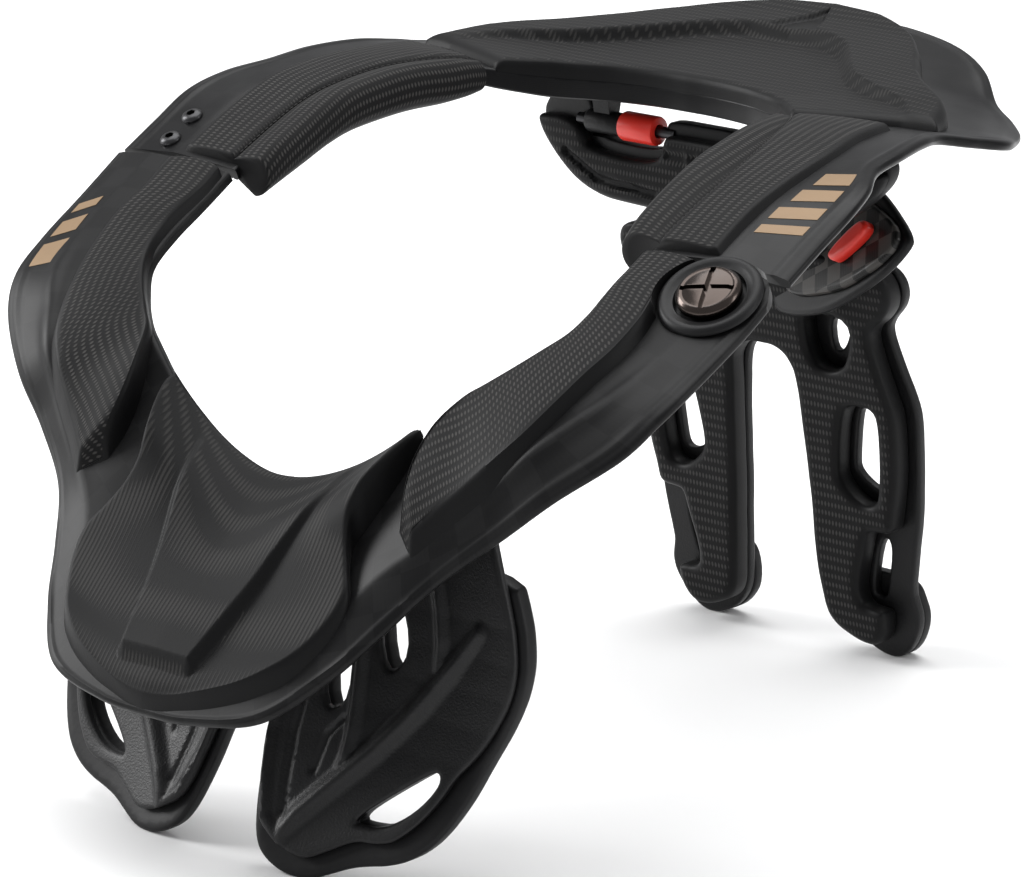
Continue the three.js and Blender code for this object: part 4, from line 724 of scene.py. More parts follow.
def pad_rings(r, z_of, inset_o, inset_i, crown, n_top=34):
    """Rings of a pad lying on a shell; r has outer and inner top edges."""
    o, i = r[:, 0:3], r[:, 3:6]
    d = i[:, :2] - o[:, :2]
    ln = np.linalg.norm(d, axis=1, keepdims=True)
    un = d / ln
    L = ln[:, 0]
    rings, wall = [], []

    def P(a, z):
        xy = o[:, :2] + un * np.asarray(a)[:, None]
        return np.concatenate([xy, np.asarray(z)[:, None]], 1)

    def base(a, dz=0.0):
        xy = o[:, :2] + un * np.asarray(a)[:, None]
        return P(a, z_of(xy[:, 0], xy[:, 1]) + dz)
    ones = np.ones(len(r))
    # foot at the outer side, up the chamfer, over the crown, down the inner side
    out_foot = base(-inset_o * ones, -0.6)
    top_o = P(0 * ones, o[:, 2])
    for t in (0.0, 0.1, 0.55, 0.9):
        p = out_foot * (1 - t) + (P(0.0 * ones, o[:, 2] - 0.35)) * t
        p[:, 2] += 0.0
        rings.append(p); wall.append(1.0)
    for a, dz, w in ((0.35, -0.12, 1), (0.9, 0.0, 0.8)):
        rings.append(P(a * ones, o[:, 2] + dz + (i[:, 2] - o[:, 2]) * a / L)); wall.append(w)
    for s in np.linspace(0.06, 0.94, n_top):
        a = s * L
        z = o[:, 2] * (1 - s) + i[:, 2] * s + crown * 4 * s * (1 - s)
        rings.append(P(a, z)); wall.append(0.0 if 0.07 < s < 0.93 else 0.5)
    for a, dz, w in ((-0.9, -0.05, 0.8), (-0.3, -0.3, 1)):
        rings.append(P(L + a, i[:, 2] + dz)); wall.append(w)
    foot = base(L + inset_i, -0.6)
    for t in (0.1, 0.5, 0.9, 1.0):
        rings.append((P(L + 0.0, i[:, 2] - 0.6)) * (1 - t) + foot * t); wall.append(1.0)
    for s in (0.9, 0.7, 0.5, 0.3, 0.1):
        rings.append(base(s * L, -0.9)); wall.append(1.0)
    return np.stack(rings, 1), np.array(wall)


def round_ends(R, k=3, amount=(1.6, 1.6), drop=None):
    """Meant to close a pad's ends with a short chamfer; as written it returns an unchanged copy of the rings."""
    R = R.copy()
    c0, c1 = R[0].mean(0), R[-1].mean(0)
    for j in range(k):
        t = 1 - (j + 0.0) / k
        s = 1 - 0.10 * t * t * amount[0]
        R[j] = R[j] * 1
    return R


def pad_object(name, R, wall, body, cad, mirror=False, mat=M_PAD):
    Q = R.copy()
    if mirror:
        Q[..., 0] *= -1
    V, faces = loft(Q)
    o = new_object(name, V, faces, mat, body, (cad,), uv=ring_uv(R), attrs={"wall": np.tile(wall, len(R))}, sharp=50)
    return o


us = np.linspace(0, len(ARM_PAD) - 1, 150)
R, wall = pad_rings(at(ARM_PAD, us), front_z, 1.6, 1.2, 1.3)
# ends: the last few stations sink to the shell
ends = np.minimum(us / 0.28, (len(ARM_PAD) - 1 - us) / 0.6)
sink = 1 - np.sqrt(np.clip(1 - (1 - np.clip(ends, 0, 1)) ** 2, 0, 1))
zb = front_z(R[..., 0], R[..., 1]) - 0.4
R[..., 2] = R[..., 2] * (1 - sink[:, None] * 0.85) + zb * sink[:, None] * 0.85
pad_r = pad_object("front_arm_pad_right_v", R, wall, "front", "front_arm_pad_right", mirror=True)
pad_l = pad_object("front_arm_pad_left_v", R, wall, "front", "front_arm_pad_left")
Vd, Fd = turned([(BOSS_R + 0.9, -35), (BOSS_R + 0.9, 35)], AXIS, PIVOT)
boolean(pad_l, [raw_object("bossroom", Vd, Fd)])

# rear arm pads: flat top and a roll on the neck side with a stitched seam between them
us = np.linspace(0, len(REAR_PAD) - 1, 130)
r = at(REAR_PAD, us)
o3, i3 = r[:, 0:3], r[:, 3:6]
rx, rz, rw, rh = r[:, 6], r[:, 7], r[:, 8], r[:, 9]
d = i3[:, :2] - o3[:, :2]; L = np.linalg.norm(d, axis=1); un = d / L[:, None]
rings, wall = [], []


def RP(a, z):
    xy = o3[:, :2] + un * np.asarray(a)[:, None]
    return np.concatenate([xy, np.asarray(z)[:, None]], 1)


one = np.ones(len(r))
xyo = o3[:, :2] - un * 2.0
foot = np.concatenate([xyo, (rear_z(xyo[:, 0], xyo[:, 1]) - 0.6)[:, None]], 1)
for t in (0.0, 0.2, 0.6, 0.92):
    rings.append(foot * (1 - t) + RP(0 * one, o3[:, 2] - 0.3) * t); wall.append(1)
for s in np.linspace(0.03, 0.95, 26):
    rings.append(RP(s * L, o3[:, 2] * (1 - s) + i3[:, 2] * s + 0.5 * 4 * s * (1 - s))); wall.append(1 if s < 0.04 else 0)
rings.append(RP(L + 0.2, i3[:, 2] - 0.5)); wall.append(0.3)
rings.append(RP(L + 0.9, i3[:, 2] - 1.7)); wall.append(1)          # seam groove
rings.append(RP(L + 1.5, i3[:, 2] - 1.2)); wall.append(0.4)
# roll: quarter turns from the seam over the neck side and under
yr = i3[:, 1] + (i3[:, 1] - o3[:, 1]) * 0.35
start = RP(L + 1.5, i3[:, 2] - 1.2)
for k, ang in enumerate(np.linspace(88, 262, 24)):
    a = math.radians(ang)
    p = np.stack([rx + rw * np.cos(a), yr, rz + rh * np.sin(a)], 1)
    w = np.clip((k + 1) / 5, 0, 1)
    if w < 1:
        w = smooth01(w)
        q = start + (p - start) * ((k + 1) / 6)
        p = q * (1 - w) + p * w
    rings.append(p); wall.append(0.0 if k < 15 else (k - 15) / 9)
p = RP(L + 2.4, rear_z(i3[:, 0], i3[:, 1]) - 5.2); rings.append(p); wall.append(1)
rings.append(RP(L + 2.4, rear_z(i3[:, 0], i3[:, 1]) - 1.0)); wall.append(1)
for s in (0.85, 0.6, 0.35, 0.1):
    xy = o3[:, :2] + un * (s * L)[:, None]
    rings.append(np.concatenate([xy, (rear_z(xy[:, 0], xy[:, 1]) - 0.9)[:, None]], 1)); wall.append(1)
R = np.stack(rings, 1)
wall = np.array(wall, float)
c = R.mean(1, keepdims=True)
ends = np.minimum(us / 0.16, 1)
k = np.sqrt(np.clip(1 - (1 - ends) ** 2, 0, 1))[:, None, None]
R = np.where(k < 1, c + (R - c) * (0.82 + 0.18 * k), R)
for side, mir in (("left", False), ("right", True)):
    pad_object("rear_arm_pad_%s_v" % side, R, wall, "rear", "rear_arm_pad_" + side, mirror=mir)


def stitches(name, path, normal, body, size=(1.15, 0.26), pitch=2.1):
    """Raised thread stitches along a path on the surface."""
    path = np.asarray(path, float)
    seg = np.linalg.norm(np.diff(path, axis=0), axis=1)
    s = np.concatenate([[0], np.cumsum(seg)])
    pos = np.arange(pitch, s[-1] - pitch, pitch)
    V, F = [], []
    for q in pos:
        p = np.array([np.interp(q, s, path[:, k]) for k in range(3)])
        e = np.array([np.interp(q + 0.4, s, path[:, k]) for k in range(3)]) - p
        e /= np.linalg.norm(e)
        n = np.array([np.interp(q, s, normal[:, k]) for k in range(3)]); n -= e * (n @ e); n /= np.linalg.norm(n)
        b = np.cross(e, n)
        base = len(V)
        m = 8
        for t in np.linspace(-1, 1, 7):
            rr = size[1] * math.sqrt(max(0.02, 1 - t ** 4))
            for j in range(m):
                a = 2 * math.pi * j / m
                V.append(p + e * t * size[0] * 0.72 + n * (rr * math.sin(a) + 0.12 * (1 - t * t)) + b * rr * math.cos(a))
        for i in range(6):
            for j in range(m):
                F.append([base + i * m + j, base + i * m + (j + 1) % m, base + (i + 1) * m + (j + 1) % m, base + (i + 1) * m + j])
        F.append([base + j for j in range(m)][::-1]); F.append([base + 6 * m + j for j in range(m)])
    return new_object(name, np.array(V), F, M_THREAD, body)


path = RP(L + 0.9, i3[:, 2] - 1.25)[4:-3]
nrm = np.tile(np.array([-0.5, 0, 0.85]), (len(path), 1))
stitches("seam_left", path, nrm, "rear")
mp_ = path.copy(); mp_[:, 0] *= -1; mn = nrm.copy(); mn[:, 0] *= -1
stitches("seam_right", mp_, mn, "rear")

# ------------------------------------------------------------------ chin pad
nV = 161
us = np.linspace(0, len(CHIN) - 1, 190)
r = at(CHIN, us)
v = np.linspace(-1, 1, nV)
a = np.abs(v)[None, :]
X = r[:, 2:3] * v[None, :]
Y = r[:, 0:1] + (r[:, 3:4] - r[:, 0:1]) * a ** 1.6
Z = r[:, 1:2] + (r[:, 4:5] - r[:, 1:2]) * a ** r[:, 5:6]
tz = np.array(TONGUE)
half = np.interp(Y, tz[:, 0], tz[:, 1]); rise = np.interp(Y, tz[:, 0], tz[:, 2], left=0, right=0)
Z0 = Z.copy()
edge = half - np.abs(X)
Z = Z + rise * np.clip(edge / 2.1, 0, 1) ** 0.9
# the pad's sides, front and back round down towards the shell
side_d = r[:, 2:3] * (1 - a)
front_d = (len(CHIN) - 1 - us)[:, None] * 3.2 + 0 * a
back_d = us[:, None] * 4.5 + 0 * a
d = np.minimum(np.minimum(side_d, front_d), back_d)
zb = np.minimum(front_z(X, Y) - 0.6, Z0 - 2.2)
cham = 2.6
t = np.clip(d / cham, 0, 1)
Z = zb + (Z - zb) * (0.12 + 0.88 * np.sqrt(np.clip(1 - (1 - t) ** 2, 0, 1)))
top = np.stack([X, Y, Z], -1)
wallv = np.clip(1 - (d - 1.6) / 0.9, 0, 1)
wallv = np.maximum(wallv, ((edge > -0.3) & (edge < 2.3) & (rise > 0.8)) * 0.85)
bot = np.stack([X, Y, zb - 0.3], -1)
s_, m_ = X.shape
V = np.concatenate([top.reshape(-1, 3), bot.reshape(-1, 3)])
i, k = np.meshgrid(np.arange(s_ - 1), np.arange(m_ - 1), indexing="ij")
q = i * m_ + k
F = np.stack([q, q + 1, q + m_ + 1, q + m_], -1).reshape(-1, 4)
off_ = s_ * m_
faces = F.tolist() + (F[:, ::-1] + off_).tolist()
loop = [j for j in range(m_)] + [j * m_ + m_ - 1 for j in range(1, s_)] + [(s_ - 1) * m_ + j for j in range(m_ - 2, -1, -1)] + [j * m_ for j in range(s_ - 2, 0, -1)]
for p_, q_ in zip(loop, loop[1:] + loop[:1]):
    faces.append([q_, p_, p_ + off_, q_ + off_])
uvc = np.stack([X, -(Y * 0.78 - Z * 0.62)], -1).reshape(-1, 2) * MM
new_object("chin_pad_v", V, faces, M_PADC, "front", ("chin_pad",), uv=np.concatenate([uvc, uvc]),
           attrs={"wall": np.concatenate([wallv.ravel(), np.ones(off_)])}, sharp=60)

# ------------------------------------------------------------------ rear table pad
nF = 120
us = np.linspace(TABLE[0, 0], 17, 190)
rr = np.stack([np.interp(us, TABLE[:, 0], TABLE[:, j]) for j in range(1, 5)], 1)
fmax, hh, boss, start = rr.T
s = np.linspace(0, 1, nF)
U, S = np.meshgrid(us, s, indexing="ij")
Fr = S * fmax[:, None]
P0, N0 = shell_point(REAR, U, Fr), shell_normal(REAR, U, Fr)
on = smooth01((S - start[:, None]) / 0.075)
H = hh[:, None] + boss[:, None] * on
width = np.linalg.norm(shell_point(REAR, us, fmax) - shell_point(REAR, us, 0 * fmax), axis=1)[:, None]
dO, dI = (1 - S) * width, S * width
dE = (us - us[0])[:, None] * 9 + 0 * S
dd = np.minimum(dO, dE)
H = (H + 0.5) * np.sqrt(np.clip(1 - (1 - np.clip(dd / 3.4, 0, 1)) ** 2, 0, 1)) - 0.5
H = H - rounded_edge(dI, 2.6, 2.6)
# the triangular recess in the middle of the raised back
XX, YY = P0[..., 0], P0[..., 1]
tri = np.array([[0, 164.5], [9.4, 141], [-9.4, 141]])
td = dist_to(tri, np.roll(tri, -1, 0), np.stack([XX.ravel(), YY.ravel()], 1)).reshape(XX.shape)
tin = inside(tri, np.stack([XX.ravel(), YY.ravel()], 1)).reshape(XX.shape)
H = H - np.where(tin, np.clip(td / 1.0, 0, 1) * 1.7, 0)
top = P0 + N0 * H[..., None]
bot = P0 - N0 * 0.8
wallt = np.maximum(np.clip(1 - (dd - 2.4) / 1.0, 0, 1), np.where(tin, np.clip(td / 0.6, 0, 1), 0))
wallt = np.maximum(wallt, np.clip(1 - (dI - 0.8) / 0.8, 0, 1))


def mir(A):
    B = A[:-1][::-1].copy(); B[..., 0] *= -1
    return np.concatenate([A, B])


top, bot = mir(top), mir(bot)
wallt = np.concatenate([wallt, wallt[:-1][::-1]])
top[len(us) - 1, :, 0] = 0; bot[len(us) - 1, :, 0] = 0
s_, m_ = top.shape[:2]
V = np.concatenate([top.reshape(-1, 3), bot.reshape(-1, 3)])
i, k = np.meshgrid(np.arange(s_ - 1), np.arange(m_ - 1), indexing="ij")
q = i * m_ + k
F = np.stack([q, q + 1, q + m_ + 1, q + m_], -1).reshape(-1, 4)
off_ = s_ * m_
faces = F.tolist() + (F[:, ::-1] + off_).tolist()
loop = [j for j in range(m_)] + [j * m_ + m_ - 1 for j in range(1, s_)] + [(s_ - 1) * m_ + j for j in range(m_ - 2, -1, -1)] + [j * m_ for j in range(s_ - 2, 0, -1)]
for p_, q_ in zip(loop, loop[1:] + loop[:1]):
    faces.append([q_, p_, p_ + off_, q_ + off_])
uvt = top[..., :2].reshape(-1, 2) * MM
new_object("rear_table_pad_v", V, faces, M_PADC, "rear", ("rear_table_pad",), uv=np.concatenate([uvt, uvt]),
           attrs={"wall": np.concatenate([wallt.ravel(), np.ones(off_)])}, sharp=60)

# ------------------------------------------------------------------ hinge screw, ring, small screws
V, F = turned([(0, -6.5), (3, -6.5), (3, 1.2), (SCREW_R - 0.5, 1.2), (SCREW_R - 0.1, 1.5), (SCREW_R, 1.9), (SCREW_R, 3.5), (SCREW_R - 0.25, 3.9), (SCREW_R - 1.2, 4.9), (SCREW_R - 1.6, 5.05), (SCREW_R - 2.1, 4.85),
               (SCREW_R - 2.5, 4.85), (SCREW_R - 3.4, 5.25), (0, 5.45)], AXIS, PIVOT, 128)
screw = new_object("hinge_screw_v", V, F, M_BRONZE, "rear", ("hinge_screw",), sharp=28)
ex, ey, ez = basis(AXIS)
s1 = ex + 0.35 * ey; s1 /= np.linalg.norm(s1); s2 = np.cross(ez, s1)
boolean(screw, [box_raw("s1", PIVOT + ez * 5.2, (s1, s2, ez), (2 * SCREW_R * 0.84, 1.7, 2.6)), box_raw("s2", PIVOT + ez * 5.2, (s2, s1, ez), (2 * SCREW_R * 0.84, 1.7, 2.6))])
V, F = turned([(SCREW_R + 1.0, 0.6), (BOSS_R - 0.6, 0.6), (BOSS_R + 0.1, 0.9), (BOSS_R + 0.1, 1.3), (BOSS_R - 0.3, 2.0), (BOSS_R - 1.1, 2.7), (BOSS_R - 2.0, 2.9), (SCREW_R + 2.8, 2.5), (SCREW_R + 1.9, 2.0), (SCREW_R + 1.2, 1.9), (SCREW_R + 0.9, 1.4)],
              AXIS, PIVOT, 128, closed=True)
new_object("hinge_ring_v", V, F, M_RUBBER, "rear", ("hinge_ring",), sharp=40)

for n_, (x, y) in enumerate([(-118, -29.5), (-119, -18.5)]):
    p = np.array([x, y, float(rear_z(np.array([x]), np.array([y]))[0])])
    nn = np.array([0, -0.42, 0.9]); nn /= np.linalg.norm(nn)
    V, F = turned([(0, -1.5), (3.6, -1.5), (3.6, 0.5), (3.45, 0.95), (3.0, 1.5), (2.2, 1.95), (0, 2.1)], nn, p, 64)
    bolt = new_object("shell_bolt_%d_v" % (n_ + 1), V, F, M_STEEL, "rear", ("shell_bolt_%d" % (n_ + 1),), sharp=30)
    V, F = turned([(1.55, 0.4), (1.55, 4)], nn, p, 6)
    boolean(bolt, [raw_object("hex", V, F)])

# ------------------------------------------------------------------ tilt hinge
X_ = np.array([1.0, 0, 0])
for side, sg in (("left", 1), ("right", -1)):
    c = np.array([0, PIN_Y, PIN_Z])

    def tube(x0, x1, rad, bore, e=0.5):
        prof = [(bore, x0 + 0.2), (bore + 0.2, x0), (rad - e, x0), (rad - e * 0.3, x0 + e * 0.3), (rad, x0 + e), (rad, x1 - e), (rad - e * 0.3, x1 - e * 0.3), (rad - e, x1), (bore + 0.2, x1), (bore, x1 - 0.2)]
        return turned(prof, X_ * sg, c, 64, closed=True)
    V, F = tube(BARREL_X[0], BARREL_X[1], 3.9, 2.25)
    new_object("pin_barrel_%s_v" % side, V, F, M_PLASTIC, "rear", ("pin_barrel_" + side,), sharp=30)
    V, F = tube(COLLAR_X[0], COLLAR_X[1] - 0.05, 4.9, 2.25, 0.9)
    new_object("tilt_collar_%s_v" % side, V, F, M_RED, "back_support", ("tilt_collar_" + side,), sharp=30)
    V, F = turned([(0, 12), (1.9, 12), (1.9, 53), (0, 53)], X_ * sg, c, 40)
    new_object("tilt_pin_%s_v" % side, V, F, M_STEEL, "back_support", ("tilt_pin_" + side,), sharp=30)
    # web that hangs the barrel under the rear shell
    web = [(-2.6, 183.4), (2.6, 183.4), (3.6, 188), (4.4, 195.4), (-4.4, 195.4), (-3.6, 188)]
    Vw = [[sg * x, PIN_Y + y, z] for x in (38.2, 44.8) for y, z in web]
    Fw = [[0, 1, 2, 3, 4, 5][::-1], [6, 7, 8, 9, 10, 11]] + [[j, (j + 1) % 6, (j + 1) % 6 + 6, j + 6] for j in range(6)]
    new_object("barrel_web_%s" % side, np.array(Vw, float), Fw, M_PLASTIC, "rear", sharp=30)

# ------------------------------------------------------------------ saddle
saddle_y = lambda x: 90.5 + 0.0009 * x * x
put_saddle = lambda P, D: np.stack([P[:, 0], saddle_y(P[:, 0]) + D, P[:, 1]], 1)


def channel(P, line, w, depth):
    d_, _ = dist_line([(p[0], p[1]) for p in line], P) if True else (None, None)
    return depth * (1 - smooth01((d_ - w * 0.6) / (w * 0.55)))


def saddle_front(P, d):
    h = rounded_edge(d, 2.6, 2.4)
    Q = np.abs(P) * [1, 1]
    far = channel(Q, [(57.4, 168.6), (42, 161.6), (17.4, 160.2)], 1.5, 1.7)
    rh = np.array([[-7.5, 175.2], [-4.1, 176.2], [-0.8, 171.8], [-2.9, 168.8]]) + [4.1, 0]
    din = dist_to(rh, np.roll(rh, -1, 0), P)
    rhomb = np.where(inside(rh, P), np.clip(din / 0.8, 0, 1) * 1.2, 0)
    rc = np.array([[4.5, 176.2], [13.2, 175.6], [13.2, 172.2], [4.0, 171.6]])
    din2 = dist_to(rc, np.roll(rc, -1, 0), Q)
    rect = np.where(inside(rc, Q), np.clip(din2 / 0.8, 0, 1) * 1.1, 0)
    return h + np.maximum(np.maximum(far, rhomb), rect) - 0.4 * smooth01(d / 6)


V, F, uv, dist, grp = slab(chaikin(both(SADDLE_PAD), 2), [], 1.0, saddle_front, lambda P, d: np.full(len(P), 3.9), put_saddle)
wallv = np.clip(1 - (dist - 1.3) / 0.8, 0, 1)
half_n = len(dist) // 2
Qs = np.abs(uv[:half_n] / MM)
ch = channel(Qs, [(57.4, 168.6), (42, 161.6), (17.4, 160.2)], 1.5, 1.0)
wallv[:half_n] = np.maximum(wallv[:half_n], ch)
wallv[half_n:] = 1
new_object("saddle_pad_v", V, F, M_PADF, "back_support", ("saddle_pad",), uv=uv, attrs={"wall": wallv}, sharp=50)
V, F, uv, dist, grp = slab(chaikin(both(SADDLE_BACK), 2), [], 1.6, lambda P, d: 4.3 + rounded_edge(d, 1.2, 1.0), lambda P, d: 10.9 - rounded_edge(d, 2.2, 2.0), put_saddle)
hard = new_object("saddle_back", V, F, M_RUBBER, "back_support", ("saddle_shell",), uv=uv, sharp=40)
cuts = []
for sg in (1, -1):
    Vd, Fd = turned([(5.7, 0), (5.7, BARREL_X[1] - COLLAR_X[0] + 0.9)], X_, np.array([sg * (COLLAR_X[0] + BARREL_X[1]) / 2 - (BARREL_X[1] - COLLAR_X[0] + 0.9) / 2, PIN_Y, PIN_Z]), 64)
    cuts.append(raw_object("room", Vd, Fd))
boolean(hard, cuts)
# neck and shelf down to the struts
prof = [(96.4, 166), (101, 168), (103.5, 163), (122, 143.6), (129.6, 132), (131, 120), (127.5, 120), (126, 131), (118, 139), (99, 157)]
w_in = 19.0
Vn, Fn = [], []
xs = [-w_in, -w_in + 0.8, -w_in + 1.6, w_in - 1.6, w_in - 0.8, w_in]
pc = np.mean(prof, 0)
for x, sc in zip(xs, (0.9, 0.965, 1, 1, 0.965, 0.9)):
    for y, z in chaikin(prof, 1):
        Vn.append([x, pc[0] + (y - pc[0]) * (1 if sc == 1 else 1), z])
m_ = len(chaikin(prof, 1))
Fn = [[i * m_ + j, i * m_ + (j + 1) % m_, (i + 1) * m_ + (j + 1) % m_, (i + 1) * m_ + j] for i in range(5) for j in range(m_)]
Fn += [list(range(m_))[::-1], [5 * m_ + j for j in range(m_)]]
new_object("saddle_neck", np.array(Vn, float), Fn, M_PLASTIC, "back_support", sharp=35)

# ------------------------------------------------------------------ struts
strut_y = lambda z: polyline(STRUT_FACE, z)
put_strut = lambda P, D: np.stack([P[:, 0], strut_y(P[:, 1]) + D, P[:, 1]], 1)
wins = [chaikin(w, 2) for h in PAD_WINDOWS for w in (h, flip(h))]
V, F, uv, dist, grp = slab(chaikin(both(STRUT_PAD), 2), wins, 1.15, lambda P, d: rounded_edge(d, 3.0, 2.6), lambda P, d: 8.1 - rounded_edge(d, 0.8, 0.8), put_strut)
wallv = np.clip(1 - (dist - 1.9) / 0.6, 0, 1)
wallv[len(dist) // 2:] = 1
new_object("strut_pad_v", V, F, M_PADF, "back_support", ("strut_pad",), uv=uv, attrs={"wall": wallv}, sharp=50)
wins = [chaikin(w, 2) for h in BACK_WINDOWS for w in (h, flip(h))]
V, F, uv, dist, grp = slab(chaikin(both(STRUT_BACK), 2), wins, 1.7, lambda P, d: 8.7 + rounded_edge(d, 1.0, 1.0), lambda P, d: 12.8 - rounded_edge(d, 1.4, 1.2) + 1.0 * smooth01((d - 3) / 2), put_strut)
new_object("strut_plate_v", V, F, M_PLASTIC, "back_support", ("strut_plate",), uv=uv, sharp=40)
for sg in (1, -1):
    ft = chaikin(STRUT_FOOT if sg > 0 else flip(STRUT_FOOT), 2)
    V, F, uv, dist, grp = slab(ft, [], 1.6, lambda P, d: 12.4 + rounded_edge(d, 0.9, 0.8), lambda P, d: 17.0 - rounded_edge(d, 1.6, 1.5), put_strut)
    new_object("strut_foot_%s" % ("left" if sg > 0 else "right"), V, F, M_RUBBER, "back_support", uv=uv, sharp=40)

# ------------------------------------------------------------------ chest plates
chest_y = lambda P: -146.5 + 0.308 * np.abs(P[:, 0]) - 0.0022 * P[:, 0] ** 2 + polyline(CHEST_LEAN, P[:, 1])


def chest_front(P, d):
    h = rounded_edge(d, 1.4, 1.2)
    Q = P.copy(); Q[:, 0] = np.abs(Q[:, 0])
    ribs = np.zeros(len(P))
    for rib in CHEST_RIBS:
        rd, val = dist_line(rib, Q)
        w, hh_ = val[:, 0] * 1.25, val[:, 1]
        ribs = np.maximum(ribs, hh_ * (0.5 + 0.5 * np.cos(np.pi * np.clip(rd / (w * 1.35), 0, 1))))
    gr = np.zeros(len(P))
    for g in CHEST_GROOVES:
        gd, _ = dist_line(g, Q)
        gr = np.maximum(gr, 0.9 * (1 - smooth01((gd - 0.5) / 1.1)))
    return h - ribs + gr


def chest_rim_shape(P, d):
    return rounded_edge(d, 2.6, 2.4)


def cut_by_frame(o):
    """Removes what would stand above the front shell's underside."""
    n = len(FRONT) - 1
    us = np.linspace(0, n, 120)
    rws = []
    for f_, dn, up in ((0.0, -1, 0), (0.15, 0, 0), (0.5, 0, 0), (0.85, 0, 0), (1.0, 0, 0)):
        g = np.full_like(us, f_)
        depth = np.full_like(us, -SHELL_T + 0.6) if dn == 0 else -at(FRONT, us)[:, 9] + 0.6
        rws.append(shell_point(FRONT, us, g) + shell_normal(FRONT, us, g) * depth[:, None])
    low = np.stack(rws, 1)
    hi = low[:, ::-1].copy(); hi[..., 2] += 80
    R = np.concatenate([low, hi], 1)
    mid = R[-1].copy(); mid[:, 0] = 0
    Vc, Fc = loft(mirror_rings(R[:-1], mid))
    boolean(o, [raw_object("above", Vc, Fc)])


for side, sg in (("left", 1), ("right", -1)):
    side_of = (lambda pts: list(pts)) if sg > 0 else flip
    put_chest = lambda P, D: np.stack([P[:, 0], chest_y(P) + D, P[:, 1]], 1)
    holes = [chaikin(side_of(h), 2) for h in CHEST_HOLES]
    V, F, uv, dist, grp = slab(chaikin(side_of(CHEST), 2), holes, 0.95, chest_front, lambda P, d: 2.7 - rounded_edge(d, 0.5, 0.4), put_chest)
    plate = new_object("chest_plate_%s_v" % side, V, F, M_PLATE, "front", ("chest_plate_" + side,), uv=uv, sharp=45)
    cut_by_frame(plate)

    def grown(h, k):
        c_ = np.mean(h, 0)
        return [tuple(c_ + (np.array(p) - c_) * k) for p in h]
    holes = [chaikin(side_of(grown(h, 1.08)), 2) for h in CHEST_HOLES]
    V, F, uv, dist, grp = slab(chaikin(side_of(CHEST_RIM), 2), holes, 1.4, lambda P, d: 3.0 + rounded_edge(d, 2.4, 2.0), lambda P, d: 9.9 - rounded_edge(d, 2.4, 2.2), put_chest)
    new_object("chest_rim_%s_v" % side, V, F, M_RUBBER, "front", ("chest_rim_" + side,), uv=uv, sharp=40)

# ------------------------------------------------------------------ side bracket with its lever
O_ = np.array([13, 118, 126.4]); S_ = np.array([0.854, -0.1011, 0.5104]); T_ = np.array([-0.3875, 0.5311, 0.7535]); N_ = np.array([-0.3472, -0.8413, 0.4144])
put_pod = lambda P, D: O_ + P[:, :1] * S_ + P[:, 1:2] * T_ + np.asarray(D)[:, None] * N_
POD_RIM = [(-7.7, -0.8), (2.3, -7.2), (17, -12.3), (29, -13.4), (50, -11.6), (63.1, -6.3), (64.4, -2.1), (55, 12), (47, 22), (40, 26), (10, 24), (-4, 14)]
POD_LAYER = [(-4, 0), (-2.4, -4.2), (12.4, -9.4), (24.4, -10.5), (45.5, -8.7), (58.7, -3.4), (59.9, 0.8), (50, 14), (44, 21), (38, 24), (12, 22), (0, 12)]
POD_FACE = [(2, 2), (8, -3), (18, -6.4), (31, -9.6), (43, -9.4), (57.5, -7.2), (62.6, -0.4), (46.5, 16.4), (37, 22), (12, 20), (3, 11)]
LEVER = [(29.5, 2.6), (32, -1.2), (36, -1.8), (50.8, 2.2), (49.8, 6.8), (45, 8.2)]
SLOT = [(31, 0.6), (47, 5), (46, 8), (30, 3.6)]
V, F, uv, dist, grp = slab(chaikin(POD_RIM, 2), [], 1.2, lambda P, d: -2.5 - rounded_edge(d, 1.4, 1.3), lambda P, d: -5.5 + rounded_edge(d, 1.0, 0.9), put_pod)
new_object("bracket_rim", V, F, M_RUBBER, "back_support", ("side_bracket",), uv=uv, sharp=40)
V, F, uv, dist, grp = slab(chaikin(POD_LAYER, 2), [], 1.5, lambda P, d: -5.5 - rounded_edge(d, 1.2, 1.0), lambda P, d: -9.0 + rounded_edge(d, 1.8, 1.6), put_pod)
new_object("bracket_layer", V, F, M_PLASTIC, "back_support", uv=uv, sharp=40)
V, F, uv, dist, grp = slab(chaikin(POD_FACE, 2), [chaikin(SLOT, 2)], 0.9, lambda P, d: 0 - rounded_edge(d, 1.2, 1.1), lambda P, d: np.full(len(P), -2.2), put_pod)
new_object("bracket_face_v", V, F, M_FACE, "back_support", ("bracket_face",), uv=uv, sharp=40)
V, F, uv, dist, grp = slab(chaikin(LEVER, 2), [], 0.5, lambda P, d: 4.4 - rounded_edge(d, 1.5, 1.4), lambda P, d: 0.4 + rounded_edge(d, 0.5, 0.4), put_pod)
new_object("release_lever_v", V, F, M_RED, "lever", ("release_lever",), uv=uv, sharp=40)
STEM = [(33.4, 2.2), (42.0, 4.55), (41.6, 5.9), (33.0, 3.55)]
V, F, uv, dist, grp = slab(chaikin(STEM, 1), [], 0.8, lambda P, d: np.full(len(P), 1.0), lambda P, d: np.full(len(P), -1.9), put_pod)
new_object("lever_stem", V, F, M_RED, "lever", uv=uv, sharp=40)

# ------------------------------------------------------------------ plain gold accent bars on the bands


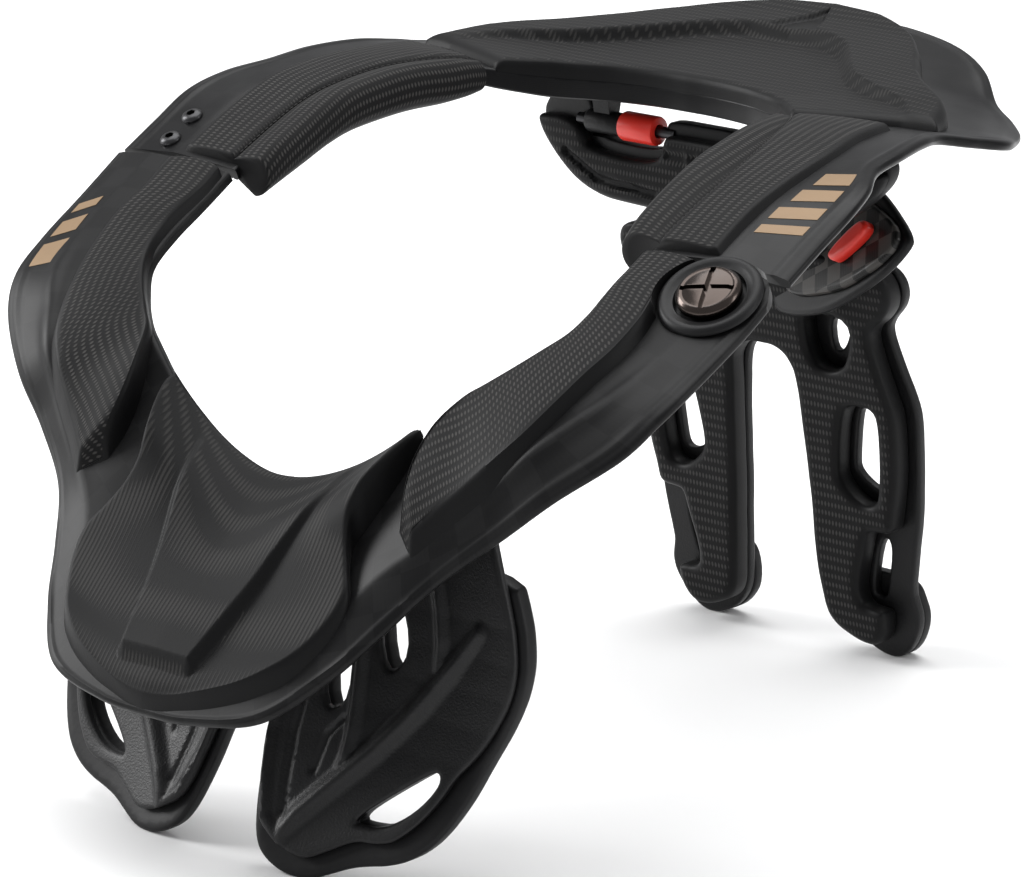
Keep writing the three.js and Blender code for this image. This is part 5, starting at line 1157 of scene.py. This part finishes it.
def accent(name, rows, bars, body, sg=1, lift=0.14):
    """Slanted flat bars printed on a shell: each bar is (u0, u1, f0, f1, slant)."""
    V, F = [], []
    for (u0, u1, f0, f1, sl) in bars:
        nu, nf = 14, 14
        U, Fq = np.meshgrid(np.linspace(0, 1, nu), np.linspace(0, 1, nf), indexing="ij")
        uu = u0 + (u1 - u0) * U + sl * (Fq - 0.5)
        ff = f0 + (f1 - f0) * Fq
        P, Nn = shell_point(rows, uu, ff), shell_normal(rows, uu, ff)
        up, dn = P + Nn * lift, P - Nn * 0.25
        for Q in (up, dn):
            Q[..., 0] *= sg
        b0 = len(V)
        V += up.reshape(-1, 3).tolist() + dn.reshape(-1, 3).tolist()
        n = nu * nf
        for i in range(nu - 1):
            for j in range(nf - 1):
                q = b0 + i * nf + j
                F.append([q, q + nf, q + nf + 1, q + 1]); F.append([q + n, q + n + 1, q + n + nf + 1, q + n + nf])
        loop = [j for j in range(nf)] + [i * nf + nf - 1 for i in range(1, nu)] + [(nu - 1) * nf + j for j in range(nf - 2, -1, -1)] + [i * nf for i in range(nu - 2, 0, -1)]
        for p_, q_ in zip(loop, loop[1:] + loop[:1]):
            F.append([b0 + p_, b0 + q_, b0 + q_ + n, b0 + p_ + n])
    return new_object(name, np.array(V, float), F, M_GOLD, body, sharp=40)


accent("accent_near", REAR, [(1.05, 1.3, 0.7, 0.9, 0.2), (1.5, 1.85, 0.7, 0.9, 0.22), (2.1, 2.55, 0.72, 0.9, 0.25), (2.8, 3.35, 0.74, 0.9, 0.25)], "rear")
accent("accent_far", FRONT, [(1.2, 1.4, 0.76, 0.92, 0.15), (1.6, 1.95, 0.76, 0.92, 0.15), (2.15, 2.75, 0.76, 0.92, 0.15)], "front", sg=-1)

# ------------------------------------------------------------------ studio


def plain(name, color, rough):
    m = bpy.data.materials.new(name); m.use_nodes = True
    b = m.node_tree.nodes["Principled BSDF"]
    b.inputs["Base Color"].default_value = (*color, 1); b.inputs["Roughness"].default_value = rough
    return m


me = bpy.data.meshes.new("floor")
me.from_pydata([(-6, -6, 0), (6, -6, 0), (6, 6, 0), (-6, 6, 0)], [], [(0, 1, 2, 3)])
me.materials.append(plain("floor", (0.86, 0.86, 0.86), 0.85))
floor = bpy.data.objects.new("floor", me)
bpy.context.scene.collection.objects.link(floor)


def area(name, loc, target, size, power, size_y=None, color=(1, 1, 1)):
    li = bpy.data.lights.new(name, "AREA")
    li.shape = "RECTANGLE"; li.size = size; li.size_y = size_y or size; li.energy = power; li.color = color
    o = bpy.data.objects.new(name, li)
    bpy.context.scene.collection.objects.link(o)
    o.location = loc
    o.rotation_euler = (Vector(target) - Vector(loc)).to_track_quat("-Z", "Y").to_euler()
    return o


area("top", (-0.3, 0.45, 2.2), (-0.25, 0.35, 0.0), 2.4, 66)
area("left", (-1.6, -0.7, 0.95), (0, -0.02, 0.12), 0.7, 34, 1.1)
area("right", (1.7, 0.5, 0.8), (0, 0, 0.1), 0.5, 9, 1.1)
w = bpy.data.worlds.new("world"); bpy.context.scene.world = w
w.use_nodes = True
w.node_tree.nodes["Background"].inputs["Color"].default_value = (0.98, 0.985, 1.0, 1)
w.node_tree.nodes["Background"].inputs["Strength"].default_value = 0.5

az, el, dist_c = math.radians(40.7), math.radians(15.7), 1.660
bvec = Vector((math.cos(el) * math.sin(az), -math.cos(el) * math.cos(az), math.sin(el)))
centre = Vector((0, Y_SHIFT * MM, 0.10045))
cam = bpy.data.cameras.new("camera")
cam.lens, cam.sensor_width, cam.sensor_fit = 186.33, 36.0, "HORIZONTAL"
cam.clip_start, cam.clip_end = 0.05, 30
co = bpy.data.objects.new("camera", cam)
bpy.context.scene.collection.objects.link(co)
co.location = centre + bvec * dist_c
co.rotation_euler = (-bvec).to_track_quat("-Z", "Y").to_euler()
bpy.context.scene.camera = co
bpy.context.scene.view_settings.view_transform = "Standard"
